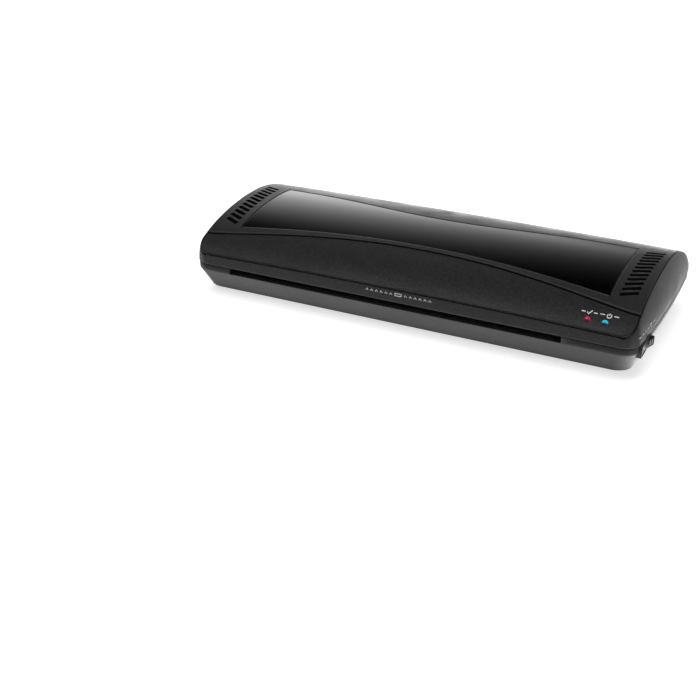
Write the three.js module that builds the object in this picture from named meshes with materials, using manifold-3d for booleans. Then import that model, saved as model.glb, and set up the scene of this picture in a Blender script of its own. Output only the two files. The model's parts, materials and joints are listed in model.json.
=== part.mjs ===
// Desktop pouch laminator for A4 pouches.
// Millimetres, +Z up, X across the machine, Y from the feed slot (front) to the exit slot (rear).
// Inside the machine group y = 0 is the front lip; the group then centres the whole object on the origin.

import * as THREE from 'three';
import { mergeVertices } from 'three/addons/utils/BufferGeometryUtils.js';
import Module from 'manifold-3d';

const wasm = await Module();
wasm.setup();

// ---- driving dimensions ----------------------------------------------------------------------

const width = 317; // over the cheeks
const depth = 139; // front lip to rear lip
const footHeight = 3; // floor to the underside of the base
const seamZ = 22.7; // parting line of the lower and upper casing
const crestRise = 28.2; // crest of the cover above the parting line
const crown = 1.1; // extra rise of the crest at mid width
const crestY = 75; // front lip to the crest
const lipRatio = 0.262; // height of the lips as a share of the crest's rise
const lipBow = 0.045; // extra share at mid width, which bows the lip seam
const sideBow = 3; // how far the cheeks bow out along their length
const frontCorner = 10; // corner radii in plan
const rearCorner = 1.5;
const rollShare = 0.18; // width of a cheek's curved face as a share of its height
const cheekArc = 0.6; // share of a quarter circle that the face follows, which leaves a ridge at its top
const wall = 2.2; // moulded wall
const reveal = 0.25; // how far the base stands back under the upper casing
const gap = 0.2; // clearance between neighbouring mouldings
const seamX = 153.2; // seam between the cheeks and the cover, either side

const throatLeft = -127; // the feed slot, offset because the drive sits on the right
const throatRight = 110;
const rollerRadius = 6.4;
const nipZ = 21; // height of the pouch path
const gearTeeth = 13; // roller gears, module 1
const gearModule = 1;
const idlerTeeth = 16;
const pinionTeeth = 12;
const cordReach = 44; // how far the bundled cord lies behind the machine

// ---- materials -------------------------------------------------------------------------------

const finish = (color, roughness, metalness = 0) =>
  new THREE.MeshStandardMaterial({ color, roughness, metalness });
const blackPlastic = () => finish(0x1c1c1d, 0.62);
const fasciaPlastic = () => finish(0x202021, 0.7);
const glossBlack = () => finish(0x070708, 0.08);
const nylon = () => finish(0xe4dfd0, 0.5);
const steel = () => finish(0xa9acb0, 0.35, 1);
const aluminium = () => finish(0xc3c6ca, 0.4, 1);
const silicone = () => finish(0xb5482f, 0.75);
const rubber = () => finish(0x141414, 0.9);
const brass = () => finish(0xc9a24d, 0.3, 1);
const board = () => finish(0x1f5d37, 0.6);
const mica = () => finish(0xb9a888, 0.8);

// ---- scene graph and solids ------------------------------------------------------------------

const group = new THREE.Group();
const machine = new THREE.Group();
machine.position.y = -(depth + cordReach) / 2;
group.add(machine);

function toSolid(geometry, matrix = new THREE.Matrix4()) {
  const bare = geometry.clone().applyMatrix4(matrix);
  bare.deleteAttribute('normal');
  bare.deleteAttribute('uv');
  const merged = mergeVertices(bare, 1e-4);
  const triVerts = new Uint32Array(merged.index.array);
  const vertProperties = new Float32Array(merged.attributes.position.array);
  return new wasm.Manifold(new wasm.Mesh({ numProp: 3, vertProperties, triVerts }));
}

function toGeometry(solid) {
  const mesh = solid.getMesh();
  const geometry = new THREE.BufferGeometry();
  geometry.setAttribute('position', new THREE.BufferAttribute(mesh.vertProperties, 3));
  geometry.setIndex(new THREE.BufferAttribute(mesh.triVerts, 1));
  return geometry;
}

function add(name, solid, material) {
  const mesh = new THREE.Mesh(toGeometry(solid), material);
  mesh.name = name;
  machine.add(mesh);
}

const moved = (x, y, z) => new THREE.Matrix4().makeTranslation(x, y, z);

// A box given by its lowest and highest corners.
function box(x0, y0, z0, x1, y1, z1) {
  const geometry = new THREE.BoxGeometry(x1 - x0, y1 - y0, z1 - z0);
  return toSolid(geometry, moved((x0 + x1) / 2, (y0 + y1) / 2, (z0 + z1) / 2));
}

// A flat shape in XY raised along Z.
function prism(shape, z0, z1, curveSegments = 8) {
  const geometry = new THREE.ExtrudeGeometry(shape, { depth: z1 - z0, bevelEnabled: false, curveSegments });
  return toSolid(geometry, moved(0, 0, z0));
}

// Turns a solid built along Z so that it runs along X, with its own X pointing to +Y and its own Y to +Z.
const alongX = new THREE.Matrix4().set(0, 0, 1, 0, 1, 0, 0, 0, 0, 1, 0, 0, 0, 0, 0, 1);

// A flat shape in YZ raised along X.
function prismX(shape, x0, x1, curveSegments = 8) {
  const geometry = new THREE.ExtrudeGeometry(shape, { depth: x1 - x0, bevelEnabled: false, curveSegments });
  return toSolid(geometry, alongX.clone().setPosition(x0, 0, 0));
}

// Evenly spaced numbers from one value to another, both ends included.
function steps(from, to, count) {
  return Array.from({ length: count + 1 }, (_, i) => from + ((to - from) * i) / count);
}

const unionOf = (solids) => solids.reduce((sum, solid) => sum.add(solid));
const cutAll = (solid, cutters) => cutters.reduce((rest, cutter) => rest.subtract(cutter), solid);
const points = (pairs) => pairs.map(([a, b]) => new THREE.Vector2(a, b));
const polygon = (pairs) => new THREE.Shape(points(pairs));

// A turned piece: [radius, height] pairs that start and end on the axis, which is Z.
function turned(pairs, segments = 16, matrix = new THREE.Matrix4()) {
  const upright = new THREE.Matrix4().makeRotationX(Math.PI / 2).premultiply(matrix);
  return toSolid(new THREE.LatheGeometry(points(pairs), segments), upright);
}

function cylinder(x, y, z0, z1, radius, segments = 16) {
  const pairs = [[0, z0], [radius, z0], [radius, z1], [0, z1]];
  return turned(pairs, segments, moved(x, y, 0));
}

// A turned piece whose axis runs along X through (y, z).
function turnedX(pairs, y, z, segments = 16) {
  return turned(pairs, segments, alongX.clone().setPosition(0, y, z));
}

function rodX(x0, x1, y, z, radius, segments = 16) {
  return turnedX([[0, x0], [radius, x0], [radius, x1], [0, x1]], y, z, segments);
}

// A round wire through the given points, with one ring of vertices at each point.
function wire(path, radius, sides) {
  const heading = (i) => {
    const after = path[Math.min(i + 1, path.length - 1)];
    const before = path[Math.max(i - 1, 0)];
    return after.clone().sub(before).normalize();
  };
  let side = new THREE.Vector3(0, 0, 1).cross(heading(0)).normalize();
  const rings = path.map((centre, i) => {
    const ahead = heading(i);
    side = side.sub(ahead.clone().multiplyScalar(side.dot(ahead))).normalize();
    const up = ahead.clone().cross(side);
    const angles = steps(0, 2 * Math.PI, sides).slice(0, -1);
    return angles.map((angle) => {
      const out = side.clone().multiplyScalar(radius * Math.cos(angle));
      return centre.clone().add(out).addScaledVector(up, radius * Math.sin(angle));
    });
  });
  return loft(rings);
}

// A closed solid lofted through loops of equal length; the end loops are convex and are capped.
function loft(loops) {
  const size = loops[0].length;
  const position = loops.flat().flatMap((p) => [p.x, p.y, p.z]);
  const index = [];
  for (let row = 0; row + 1 < loops.length; row += 1) {
    for (let i = 0; i < size; i += 1) {
      const a = row * size + i;
      const b = row * size + ((i + 1) % size);
      index.push(a, b, b + size, a, b + size, a + size);
    }
  }
  const last = (loops.length - 1) * size;
  for (let i = 1; i + 1 < size; i += 1) {
    index.push(0, i + 1, i);
    index.push(last, last + i, last + i + 1);
  }
  const geometry = new THREE.BufferGeometry();
  geometry.setAttribute('position', new THREE.Float32BufferAttribute(position, 3));
  geometry.setIndex(index);
  return toSolid(geometry);
}

// ---- outer form ------------------------------------------------------------------------------
// In plan the body is a rounded rectangle with slightly bowed cheeks. Along Y the cover follows an
// ellipse that is cut off at the front and rear lips, and along X it ends in a ridge over each cheek.

const cornerCut = (distance, radius) =>
  distance < radius ? radius - Math.sqrt(radius ** 2 - (radius - distance) ** 2) : 0;

function halfWidth(y, inset) {
  const bowed = width / 2 - sideBow * ((y - 85) / 85) ** 2 - inset;
  const front = cornerCut(Math.max(y - inset, 0), frontCorner - inset);
  const rear = cornerCut(Math.max(depth - inset - y, 0), rearCorner - inset);
  return bowed - front - rear;
}

// 1 at mid width, 0 near the seams.
const bulge = (x) => Math.max(1 - (x / (seamX - 3)) ** 2, 0);

// Share of the crest's rise at a station: 1 at the crest and lipRatio at the lips.
function riseShare(x, y, inset) {
  const reach = (y < crestY ? crestY : depth - crestY) - inset;
  const lip = lipRatio + lipBow * bulge(x);
  return Math.sqrt(1 - (1 - lip ** 2) * Math.min(((y - crestY) / reach) ** 2, 1));
}

const coverHeight = (x, y, inset, drop) => (crestRise - drop + crown * bulge(x)) * riseShare(x, y, inset);

const stationCount = 16;

// Stations along Y, closer together towards the lips.
function stations(inset) {
  const limit = Math.asin(Math.sqrt(1 - lipRatio ** 2));
  return steps(-limit, limit, stationCount).map((angle) => {
    const share = Math.sin(angle) / Math.sin(limit);
    return crestY + share * ((share < 0 ? crestY : depth - crestY) - inset);
  });
}

// Rise of a cheek's face at a share of its width: upright at the parting line, ending in the ridge.
const cheekRise = (share) => Math.sqrt((1 - (1 - cheekArc * share) ** 2) / (1 - (1 - cheekArc) ** 2));

// The space under the cover's surface, drawn in by inset at the sides and ends and by drop at the top.
function hull(inset, drop, floorZ = seamZ) {
  const rollShares = steps(0, 1, 4).map((step) => step ** 2);
  const loops = stations(inset).map((y) => {
    const half = halfWidth(y, inset);
    const sideRise = coverHeight(seamX, y, inset, drop);
    const rollWidth = rollShare * sideRise;
    const right = rollShares.map((share) => [half - rollWidth * share, seamZ + sideRise * cheekRise(share)]);
    const flat = steps(half - rollWidth, rollWidth - half, 4).slice(1, -1);
    const middle = flat.map((x) => [x, seamZ + coverHeight(x, y, inset, drop)]);
    const left = right.map(([x, z]) => [-x, z]).reverse();
    const floor = floorZ < seamZ ? [[-half, floorZ], [half, floorZ]] : [];
    return [...right, ...middle, ...left, ...floor].map(([x, z]) => new THREE.Vector3(x, y, z));
  });
  return loft(loops.map((loop) => loop.reverse()));
}

// The base's plan outline at one height, drawn in at the sides and at the ends.
function planLoop(z, sideInset, endInset) {
  const ys = stations(0);
  const end = endInset + reveal;
  const half = ys.map((y) => halfWidth(y, 0) - sideInset - reveal);
  const drawn = ys.map((y) => end + (y * (depth - 2 * end)) / depth);
  const right = drawn.map((y, i) => new THREE.Vector3(half[i], y, z));
  const left = drawn.map((y, i) => new THREE.Vector3(-half[i], y, z)).reverse();
  return [...right, ...left];
}

// ---- lines on the cover ----------------------------------------------------------------------

const archEndY = 14.4;
const archRise = 20.4;
const archY = (x) => archEndY + archRise * Math.max(1 - (x / seamX) ** 2, 0) ** 1.4;

const panelHalf = 131; // gloss panel
const panelFrontY = (x) => 24.6 + 14.2 * Math.max(1 - (x / panelHalf) ** 2, 0) ** 1.15;
const panelRearY = (x) => 95 - 12 * Math.max(1 - (x / panelHalf) ** 2, 0) ** 3;

// The region of the cover and fascia: inside the seam in plan, and above the bowed lip seam.
function skinRegion(grow) {
  const x = seamX + grow;
  const y0 = 0.3 - grow;
  const y1 = depth - 0.3 + grow;
  const radius = 8 + grow;
  const plan = new THREE.Shape();
  plan.absarc(x - radius, y0 + radius, radius, -Math.PI / 2, 0);
  plan.absarc(x - radius, y1 - radius, radius, 0, Math.PI / 2);
  plan.absarc(radius - x, y1 - radius, radius, Math.PI / 2, Math.PI);
  plan.absarc(radius - x, y0 + radius, radius, Math.PI, 1.5 * Math.PI);
  const lipEdge = (at) => seamZ + coverHeight(at, 0, 0, 0) - 0.6 - grow;
  const bottom = steps(-160, 160, 8).map((at) => [at, lipEdge(at)]);
  const band = new THREE.ExtrudeGeometry(polygon([...bottom, [160, 80], [-160, 80]]), {
    depth: depth + 20,
    bevelEnabled: false,
  });
  const standing = new THREE.Matrix4().makeRotationX(Math.PI / 2).setPosition(0, depth + 10, 0);
  return prism(plan, 10, 70, 4).intersect(toSolid(band, standing));
}

// A region in plan bounded by two curves y(x), from z = 10 up.
function regionBetween(half, lowY, highY, count) {
  const low = steps(-half, half, count).map((x) => [x, lowY(x)]);
  const high = steps(half, -half, count).map((x) => [x, highY(x)]);
  return prism(polygon([...low, ...high]), 10, 70);
}

// ---- lower casing ----------------------------------------------------------------------------

const bandZ = 18.2; // lower edge of the upright band round the base
const baseSideInset = 4.6; // how far the base draws in from the band to the floor
const baseEndInset = 8;
const floorZ = footHeight + wall;
const bossAt = [[-147, 42], [147, 42], [-147, 125], [147, 125]];
const footAt = [[-136, 26], [136, 26], [-136, 113], [136, 113]];
const switchY0 = 9.2; // rocker switch opening
const switchY1 = 33.8;
const switchZ0 = 13.9;
const switchZ1 = 21.9;
const cordX = 132;
const cordZ = 12;
const slotZ = 18.3; // lower edge of the feed and exit slots
const plateScrewAt = [[-123, 98], [106, 98]];
const platePadAt = [[-123, 61], [106, 61], ...plateScrewAt]; // pads that carry the side plates
const plateScrewZ = 7.2; // top of the pads
const screwSeatZ = 6.4; // seat of the case screws' heads

function lowerCasing() {
  const outside = loft([
    planLoop(footHeight, baseSideInset + 1.2, baseEndInset + 1.2),
    planLoop(footHeight + 1.2, baseSideInset, baseEndInset),
    planLoop(bandZ, 0, 0),
    planLoop(seamZ - gap, 0, 0),
  ]);
  const inside = loft([
    planLoop(floorZ, baseSideInset + wall, baseEndInset + wall),
    planLoop(bandZ, wall, wall),
    planLoop(seamZ + 1, wall, wall),
  ]);
  const bosses = bossAt.map(([x, y]) => cylinder(x, y, floorZ - 1, seamZ - 0.8, 4, 12));
  const pads = platePadAt.map(([x, y]) => cylinder(x, y, floorZ - 1, plateScrewZ, 4, 10));
  const cuts = [
    box(throatLeft, -2, slotZ, throatRight, 6, seamZ + 2),
    box(throatLeft, depth - 6, slotZ, throatRight, depth + 2, seamZ + 2),
    box(140, switchY0, switchZ0, 170, switchY1, switchZ1),
    turned([[0, -20], [4.9, -20], [4.9, 20], [0, 20]], 16, rearward(cordX, depth - 4, cordZ)),
    ...bossAt.map(([x, y]) => cylinder(x, y, 0, 30, 1.7, 8)),
    ...bossAt.map(([x, y]) => cylinder(x, y, 0, screwSeatZ, 3.9, 12)),
    ...footAt.map(([x, y]) => cylinder(x, y, 0, footHeight + 0.8, 7.2, 20)),
    ...plateScrewAt.map(([x, y]) => cylinder(x, y, floorZ, 12, 1.35, 8)),
    ...steps(-80, 64, 9).map((x) => box(x - 1.5, 50, 0, x + 1.5, 92, floorZ + 1)),
  ];
  return cutAll(unionOf([outside.subtract(inside), ...bosses, ...pads]), cuts);
}

// Places a turned piece with its axis along +Y through (x, y, z).
function rearward(x, y, z) {
  return new THREE.Matrix4().makeRotationX(-Math.PI / 2).setPosition(x, y, z);
}

// ---- upper casing ----------------------------------------------------------------------------

const postTop = 33;

// The ring of cheeks and lips, with the ledge that carries the cover and fascia.
function upperFrame() {
  const skin = skinRegion(gap / 2);
  const ring = hull(0, 0).subtract(hull(wall, wall, seamZ - 2)).subtract(skin);
  const outer = skinRegion(2.5);
  const shelf = hull(3.4, 3.4).subtract(hull(5, 5, seamZ - 2)).intersect(outer).subtract(skinRegion(-4));
  const riser = hull(1.5, 1.5).subtract(hull(5, 5, seamZ - 2)).intersect(outer.subtract(skinRegion(gap / 2)));
  const posts = bossAt.map(([x, y]) => {
    const side = Math.sign(x);
    const webX = [side * 149, side * 156.6].sort((a, b) => a - b);
    const web = box(webX[0], y - 1, seamZ + 0.2, webX[1], y + 1, postTop);
    return cylinder(x, y, seamZ + 0.2, postTop, 3.6, 12).add(web);
  });
  const cuts = [
    ...bossAt.map(([x, y]) => cylinder(x, y, seamZ - 1, postTop - 2, 1.7, 8)),
    ...ledAt.map(({ x }) => cylinderIn(ledFrame(x), -12, 4, ledRadius + 1.2)),
  ];
  return cutAll(unionOf([ring, shelf, riser, ...posts]), cuts);
}

const fasciaDrop = 0.8; // step from the cover down to the fascia

function fascia() {
  const region = skinRegion(-gap / 2).intersect(regionBetween(170, () => -5, (x) => archY(x) - gap / 2, 20));
  const holes = ledAt.map(({ x }) => cylinderIn(ledFrame(x), -12, 8, ledRadius + 0.15));
  const skin = hull(0.15, fasciaDrop).subtract(hull(wall + 0.3, wall + fasciaDrop, seamZ - 2));
  return cutAll(skin.intersect(region), holes);
}

const coverSkin = 3;
const panelThickness = 1.3;

function panelRegion(grow) {
  const half = panelHalf + grow;
  return regionBetween(half, (x) => panelFrontY(x) - grow, (x) => panelRearY(x) + grow, 14);
}

function topCover() {
  const region = skinRegion(-gap / 2).intersect(regionBetween(170, (x) => archY(x) + gap / 2, () => 150, 20));
  const skin = hull(0, 0).subtract(hull(coverSkin, coverSkin, seamZ - 2)).intersect(region);
  const pocketFloor = panelThickness + 2 * gap;
  const pocket = hull(-1, -1).subtract(hull(pocketFloor, pocketFloor, seamZ - 2));
  return skin.subtract(pocket.intersect(panelRegion(gap / 2))).subtract(unionOf(ventSlots()));
}

function glossPanel() {
  return hull(gap, gap)
    .subtract(hull(gap + panelThickness, gap + panelThickness, seamZ - 2))
    .intersect(panelRegion(-gap / 2));
}

const ventCount = 12;
const ventFirstY = 30;
const ventLastY = 90.6;
const ventInnerX = 136.4;
const ventOuterX = 146.8;
const ventRake = 4.4; // the outer end of each slot lies this far behind the inner end
const ventLean = [0.9, 2.2]; // how far the inner and outer ends of the last slots move outwards
const ventWidth = 3;

function ventSlots() {
  const centres = steps(ventFirstY, ventLastY, ventCount - 1);
  return centres.flatMap((y) =>
    [1, -1].map((side) => {
      const lean = ((y - ventFirstY) / (ventLastY - ventFirstY)) ** 2;
      const inner = new THREE.Vector2(side * (ventInnerX + ventLean[0] * lean), y - ventRake / 2);
      const outer = new THREE.Vector2(side * (ventOuterX + ventLean[1] * lean), y + ventRake / 2);
      return prism(roundedSlot(inner, outer, ventWidth / 2), 30, 70, 2);
    }),
  );
}

// A slot with round ends, whose ends reach the points a and b.
function roundedSlot(a, b, radius) {
  const heading = b.clone().sub(a).angle();
  const along = b.clone().sub(a).setLength(radius);
  const start = a.clone().add(along);
  const end = b.clone().sub(along);
  const shape = new THREE.Shape();
  shape.absarc(end.x, end.y, radius, heading - Math.PI / 2, heading + Math.PI / 2);
  shape.absarc(start.x, start.y, radius, heading + Math.PI / 2, heading + 1.5 * Math.PI);
  return shape;
}

// ---- indicator lights ------------------------------------------------------------------------

const ledY = 5.6;
const ledRadius = 1.9;
const ledAt = [
  { name: 'ready_light', x: 123.4, color: 0xe0123c },
  { name: 'power_light', x: 134.2, color: 0x1fb4f0 },
];

// Origin on the fascia's surface over a light, +Z along the surface's outward normal.
function ledFrame(x) {
  const height = (y) => seamZ + coverHeight(x, y, 0.15, fasciaDrop);
  const slope = (height(ledY + 0.1) - height(ledY - 0.1)) / 0.2;
  return new THREE.Matrix4().makeRotationX(Math.atan(slope)).setPosition(x, ledY, height(ledY));
}

function cylinderIn(frame, z0, z1, radius, segments = 16) {
  return turned([[0, z0], [radius, z0], [radius, z1], [0, z1]], segments, frame);
}

function addLights() {
  const dome = steps(0, Math.PI / 2, 4).map((a) => [ledRadius * Math.cos(a), -0.4 + 1.2 * Math.sin(a)]);
  const flange = [[0, -6.6], [ledRadius + 0.6, -6.6], [ledRadius + 0.6, -5.6], [ledRadius, -5.6]];
  dome[dome.length - 1][0] = 0;
  for (const { name, x, color } of ledAt) {
    add(name, turned([...flange, ...dome], 16, ledFrame(x)), finish(color, 0.15));
  }
  const frame = ledFrame((ledAt[0].x + ledAt[1].x) / 2);
  const slab = new THREE.BoxGeometry(26, 9, 1.4);
  add('light_board', toSolid(slab, frame.multiply(moved(0, 0.8, -7.6))), board());
}

// ---- rocker switch ---------------------------------------------------------------------------

const rockerX = 153.4; // the rocker's pivot
const rockerY = (switchY0 + switchY1) / 2;
const rockerZ = (switchZ0 + switchZ1) / 2;
const rockerHalf = 10.4; // half of its length
const rockerThick = 3; // half of its height
const pinHalf = rockerThick + 0.5; // half of its pivot pin
const rockerTilt = THREE.MathUtils.degToRad(8);
const housingFace = 157.5;

function switchHousing() {
  const clear = 0.25;
  const body = box(134, switchY0 + clear, switchZ0 + clear, housingFace, switchY1 - clear, switchZ1 - clear);
  const wellHalf = rockerHalf + 1;
  const wellTop = rockerThick + 0.3;
  const well = box(147, rockerY - wellHalf, rockerZ - wellTop, 165, rockerY + wellHalf, rockerZ + wellTop);
  const pivot = cylinder(rockerX, rockerY, rockerZ - pinHalf - 0.1, rockerZ + pinHalf + 0.1, 1.3, 12);
  return body.subtract(well).subtract(pivot);
}

// The rocker, shown at rest with its rear end standing proud.
function rocker() {
  const end = rockerHalf;
  const paddle = polygon([
    [-4, -2.4], [-4, 2.4], [0.4, end], [4.6, end], [5.2, end - 0.8], [3.9, 0],
    [5.2, 0.8 - end], [4.6, -end], [0.4, -end],
  ]);
  const low = rockerZ - rockerThick;
  const tilt = new THREE.Matrix4().makeRotationZ(-rockerTilt).setPosition(rockerX, rockerY, low);
  const raised = new THREE.ExtrudeGeometry(paddle, { depth: 2 * rockerThick, bevelEnabled: false });
  const pin = cylinder(rockerX, rockerY, rockerZ - pinHalf, rockerZ + pinHalf, 1.2, 12);
  return toSolid(raised, tilt).add(pin);
}

function addSwitch() {
  add('switch_housing', switchHousing(), blackPlastic());
  add('power_rocker', rocker(), blackPlastic());
  for (const [name, y] of [['switch_terminal_live', rockerY - 8], ['switch_terminal_load', rockerY + 8]]) {
    add(name, box(126.5, y - 0.4, rockerZ - 2.4, 133.8, y + 0.4, rockerZ + 2.4), brass());
  }
}

// ---- side plates, bushes and springs ---------------------------------------------------------

const rollerY = crestY;
const pressGap = 0.1; // half of the gap between the rollers
const lowerZ = nipZ - rollerRadius - pressGap;
const upperZ = nipZ + rollerRadius + pressGap;
const plateThickness = 1.2;
const leftPlate = -133; // inner faces of the side plates
const rightPlate = 116;
const bushRadius = 4.5;
const shaftRadius = 3;
const springTopZ = 42;
const padZ = upperZ + 10.3; // flat on the heating shoe

function sidePlate(innerX, outward) {
  const outerX = innerX + outward * plateThickness;
  const [x0, x1] = [innerX, outerX].sort((a, b) => a - b);
  const profile = polygon([[52, 7.2], [112, 7.2], [112, 34], [100, 43.2], [60, 43.2], [52, 36]]);
  const [f0, f1] = [innerX - outward * 15, innerX].sort((a, b) => a - b);
  const foot = box(f0, 56, plateScrewZ, f1 + 0.6, 106, plateScrewZ + plateThickness);
  const [t0, t1] = [innerX - outward * 8, innerX].sort((a, b) => a - b);
  const tabTop = springTopZ + plateThickness;
  const springTab = box(t0 - 0.3, rollerY - 7, springTopZ, t1 + 0.3, rollerY + 7, tabTop);
  const bushSlot = new THREE.Shape();
  bushSlot.absarc(rollerY, upperZ, bushRadius + 0.1, Math.PI, 2 * Math.PI);
  bushSlot.lineTo(rollerY + bushRadius + 0.1, springTopZ - 2.5);
  bushSlot.lineTo(rollerY - bushRadius - 0.1, springTopZ - 2.5);
  const holes = [
    rodX(x0 - 2, x1 + 2, rollerY, lowerZ, bushRadius + 0.1, 24),
    prismX(bushSlot, x0 - 2, x1 + 2, 12),
    box(f0 - 1, rollerY - 9.4, 5, f1 + 2, rollerY + 9.4, 10.2),
    ...plateScrewAt.map(([x, y]) => cylinder(x, y, 5, 10, 1.6, 8)),
  ];
  const relief = box(x0 - 1, rollerY - 9.4, 5, x1 + 1, rollerY + 9.4, 8.2);
  return cutAll(unionOf([prismX(profile, x0, x1), foot, springTab]), [...holes, relief]);
}

// Bearing bush that stands through a side plate; its inner part carries the spring.
function bush(innerX, outward, z) {
  const ends = [innerX + outward * (plateThickness + 1), innerX - outward * 5.4].sort((a, b) => a - b);
  const body = rodX(ends[0], ends[1], rollerY, z, bushRadius, 24);
  return body.subtract(rodX(ends[0] - 1, ends[1] + 1, rollerY, z, shaftRadius + 0.05, 24));
}

function pressureSpring(innerX, outward) {
  const wireRadius = 0.45;
  const coilRadius = 2;
  const turns = 5;
  const x = innerX - outward * 2.8;
  const z0 = upperZ + bushRadius + wireRadius + 0.15;
  const z1 = springTopZ - wireRadius - 0.15;
  const coil = steps(0, turns, 10 * turns).map((turn) => {
    const angle = 2 * Math.PI * turn;
    const out = new THREE.Vector3(Math.cos(angle), Math.sin(angle), 0).multiplyScalar(coilRadius);
    return out.add(new THREE.Vector3(x, rollerY, z0 + ((z1 - z0) * turn) / turns));
  });
  return wire(coil, wireRadius, 5);
}

function addFrame() {
  for (const [side, innerX, outward] of [['left', leftPlate, -1], ['right', rightPlate, 1]]) {
    const plate = sidePlate(innerX, outward);
    const motorHoles = motorPostAt.map(([y, z]) => rodX(innerX - 2, innerX + 4, y, z, 1.6, 8));
    const pinHole = rodX(innerX - 2, innerX + 4, idlerY, idlerZ, 2.1, 12);
    add(`${side}_side_plate`, outward > 0 ? cutAll(plate, [...motorHoles, pinHole]) : plate, steel());
    add(`${side}_lower_bush`, bush(innerX, outward, lowerZ), nylon());
    add(`${side}_upper_bush`, bush(innerX, outward, upperZ), nylon());
    add(`${side}_pressure_spring`, pressureSpring(innerX, outward), steel());
  }
  const seat = plateScrewZ + plateThickness + 0.05;
  const panHead = [[0, -2.8], [1.25, -2.8], [1.25, 0], [2.6, 0], [2.34, 1.12], [1.3, 1.6], [0, 1.6]];
  plateScrewAt.forEach(([x, y], i) => {
    add(`plate_screw_${i + 1}`, turned(panHead, 12, moved(x, y, seat)), steel());
  });
}

// ---- rollers, shoe and guides ----------------------------------------------------------------

function rollerSleeve(z) {
  const body = rodX(throatLeft, throatRight, rollerY, z, rollerRadius, 28);
  return body.subtract(rodX(throatLeft - 1, throatRight + 1, rollerY, z, 4.05, 16));
}

function rollerShaft(z) {
  const pairs = [
    [0, -137], [shaftRadius, -137], [shaftRadius, throatLeft - 0.3], [4, throatLeft - 0.3],
    [4, throatRight + 0.3], [shaftRadius, throatRight + 0.3], [shaftRadius, 127], [0, 127],
  ];
  return turnedX(pairs, rollerY, z, 16);
}

// A trough round a roller, from one angle to the other, with wings that lie between the side plates.
function trough(z, inner, outer, from, to, wingZ) {
  const arc = new THREE.Shape();
  arc.absarc(rollerY, z, outer, from, to, false);
  arc.absarc(rollerY, z, inner, to, from, true);
  const body = prismX(arc, throatLeft + 0.6, throatRight - 0.6, 14);
  const wings = [-1, 1].map((side) => {
    const ys = [rollerY + side * (inner + 0.25), rollerY + side * 16].sort((a, b) => a - b);
    return box(leftPlate + 0.2, ys[0], wingZ, rightPlate - 0.2, ys[1], wingZ + 1.2);
  });
  return unionOf([body, ...wings]);
}

function addRollers() {
  const deg = THREE.MathUtils.degToRad;
  add('lower_roller_sleeve', rollerSleeve(lowerZ), silicone());
  add('lower_roller_shaft', rollerShaft(lowerZ), steel());
  add('upper_roller_sleeve', rollerSleeve(upperZ), silicone());
  add('upper_roller_shaft', rollerShaft(upperZ), steel());
  const pad = box(throatLeft + 0.6, rollerY - 5.5, upperZ + 8.2, throatRight - 0.6, rollerY + 5.5, padZ);
  add('upper_heating_shoe', trough(upperZ, 7.3, 8.9, deg(14), deg(166), upperZ + 2.2).add(pad), aluminium());
  add('lower_reflector', trough(lowerZ, 7.3, 8.5, deg(194), deg(346), lowerZ - 3.4), aluminium());
}

function addHeater() {
  const stripTop = padZ + 1.3;
  add('heater_strip', box(-112, rollerY - 4, padZ + 0.1, 96, rollerY + 4, stripTop), mica());
  const clickOn = [
    [0, stripTop + 0.1], [7.4, stripTop + 0.1], [7.4, stripTop + 2.4], [5.2, stripTop + 2.4],
    [5.2, stripTop + 5.4], [0, stripTop + 5.4],
  ];
  add('thermostat', turned(clickOn, 20, moved(36, rollerY, 0)), blackPlastic());
  const fuseZ = stripTop + 2;
  const fuse = [[0, -26], [0.5, -26], [0.5, -20], [1.8, -19], [1.8, -9], [0.5, -7], [0.5, 0], [0, 0]];
  add('thermal_fuse', turnedX(fuse, rollerY, fuseZ, 12), steel());
}

// A flat guide on ribs; the ribs stand on the floor or hang from above.
function guide(y0, y1, z, ribZ0, ribZ1) {
  const plate = box(throatLeft + 0.5, y0, z, throatRight - 0.5, y1, z + 1.2);
  const ribs = steps(throatLeft + 12, throatRight - 12, 4).map((x) => {
    const inset = 6;
    return box(x - 0.8, y0 + inset, ribZ0, x + 0.8, y1 - inset, ribZ1);
  });
  return unionOf([plate, ...ribs]);
}

function addGuides() {
  const underside = slotZ - 1.2;
  const above = nipZ + 1.9;
  add('entry_guide_lower', guide(4, 50, underside, floorZ + 2, underside + 0.5), blackPlastic());
  add('entry_guide_upper', guide(5.4, 50, above, above + 0.5, above + 6), blackPlastic());
  add('exit_guide_lower', guide(93, 126, underside, floorZ + 2, underside + 0.5), blackPlastic());
  add('exit_guide_upper', guide(93, 132, above, above + 0.5, above + 6), blackPlastic());
}

// ---- gear train and motor --------------------------------------------------------------------

const gearX0 = 119;
const gearX1 = 126;
const lowerIdlerAngle = THREE.MathUtils.degToRad(10);
const idlerPinionAngle = THREE.MathUtils.degToRad(30);
const pitchRadius = (teeth) => (gearModule * teeth) / 2;
const lowerIdler = pitchRadius(gearTeeth) + pitchRadius(idlerTeeth);
const idlerPinion = pitchRadius(idlerTeeth) + pitchRadius(pinionTeeth);
const idlerY = rollerY + lowerIdler * Math.cos(lowerIdlerAngle);
const idlerZ = lowerZ + lowerIdler * Math.sin(lowerIdlerAngle);
const motorY = idlerY + idlerPinion * Math.cos(idlerPinionAngle);
const motorZ = idlerZ + idlerPinion * Math.sin(idlerPinionAngle);
const motorPostAt = [[92, 37], [105, 11]];
const bracketX = 128.2;

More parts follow.
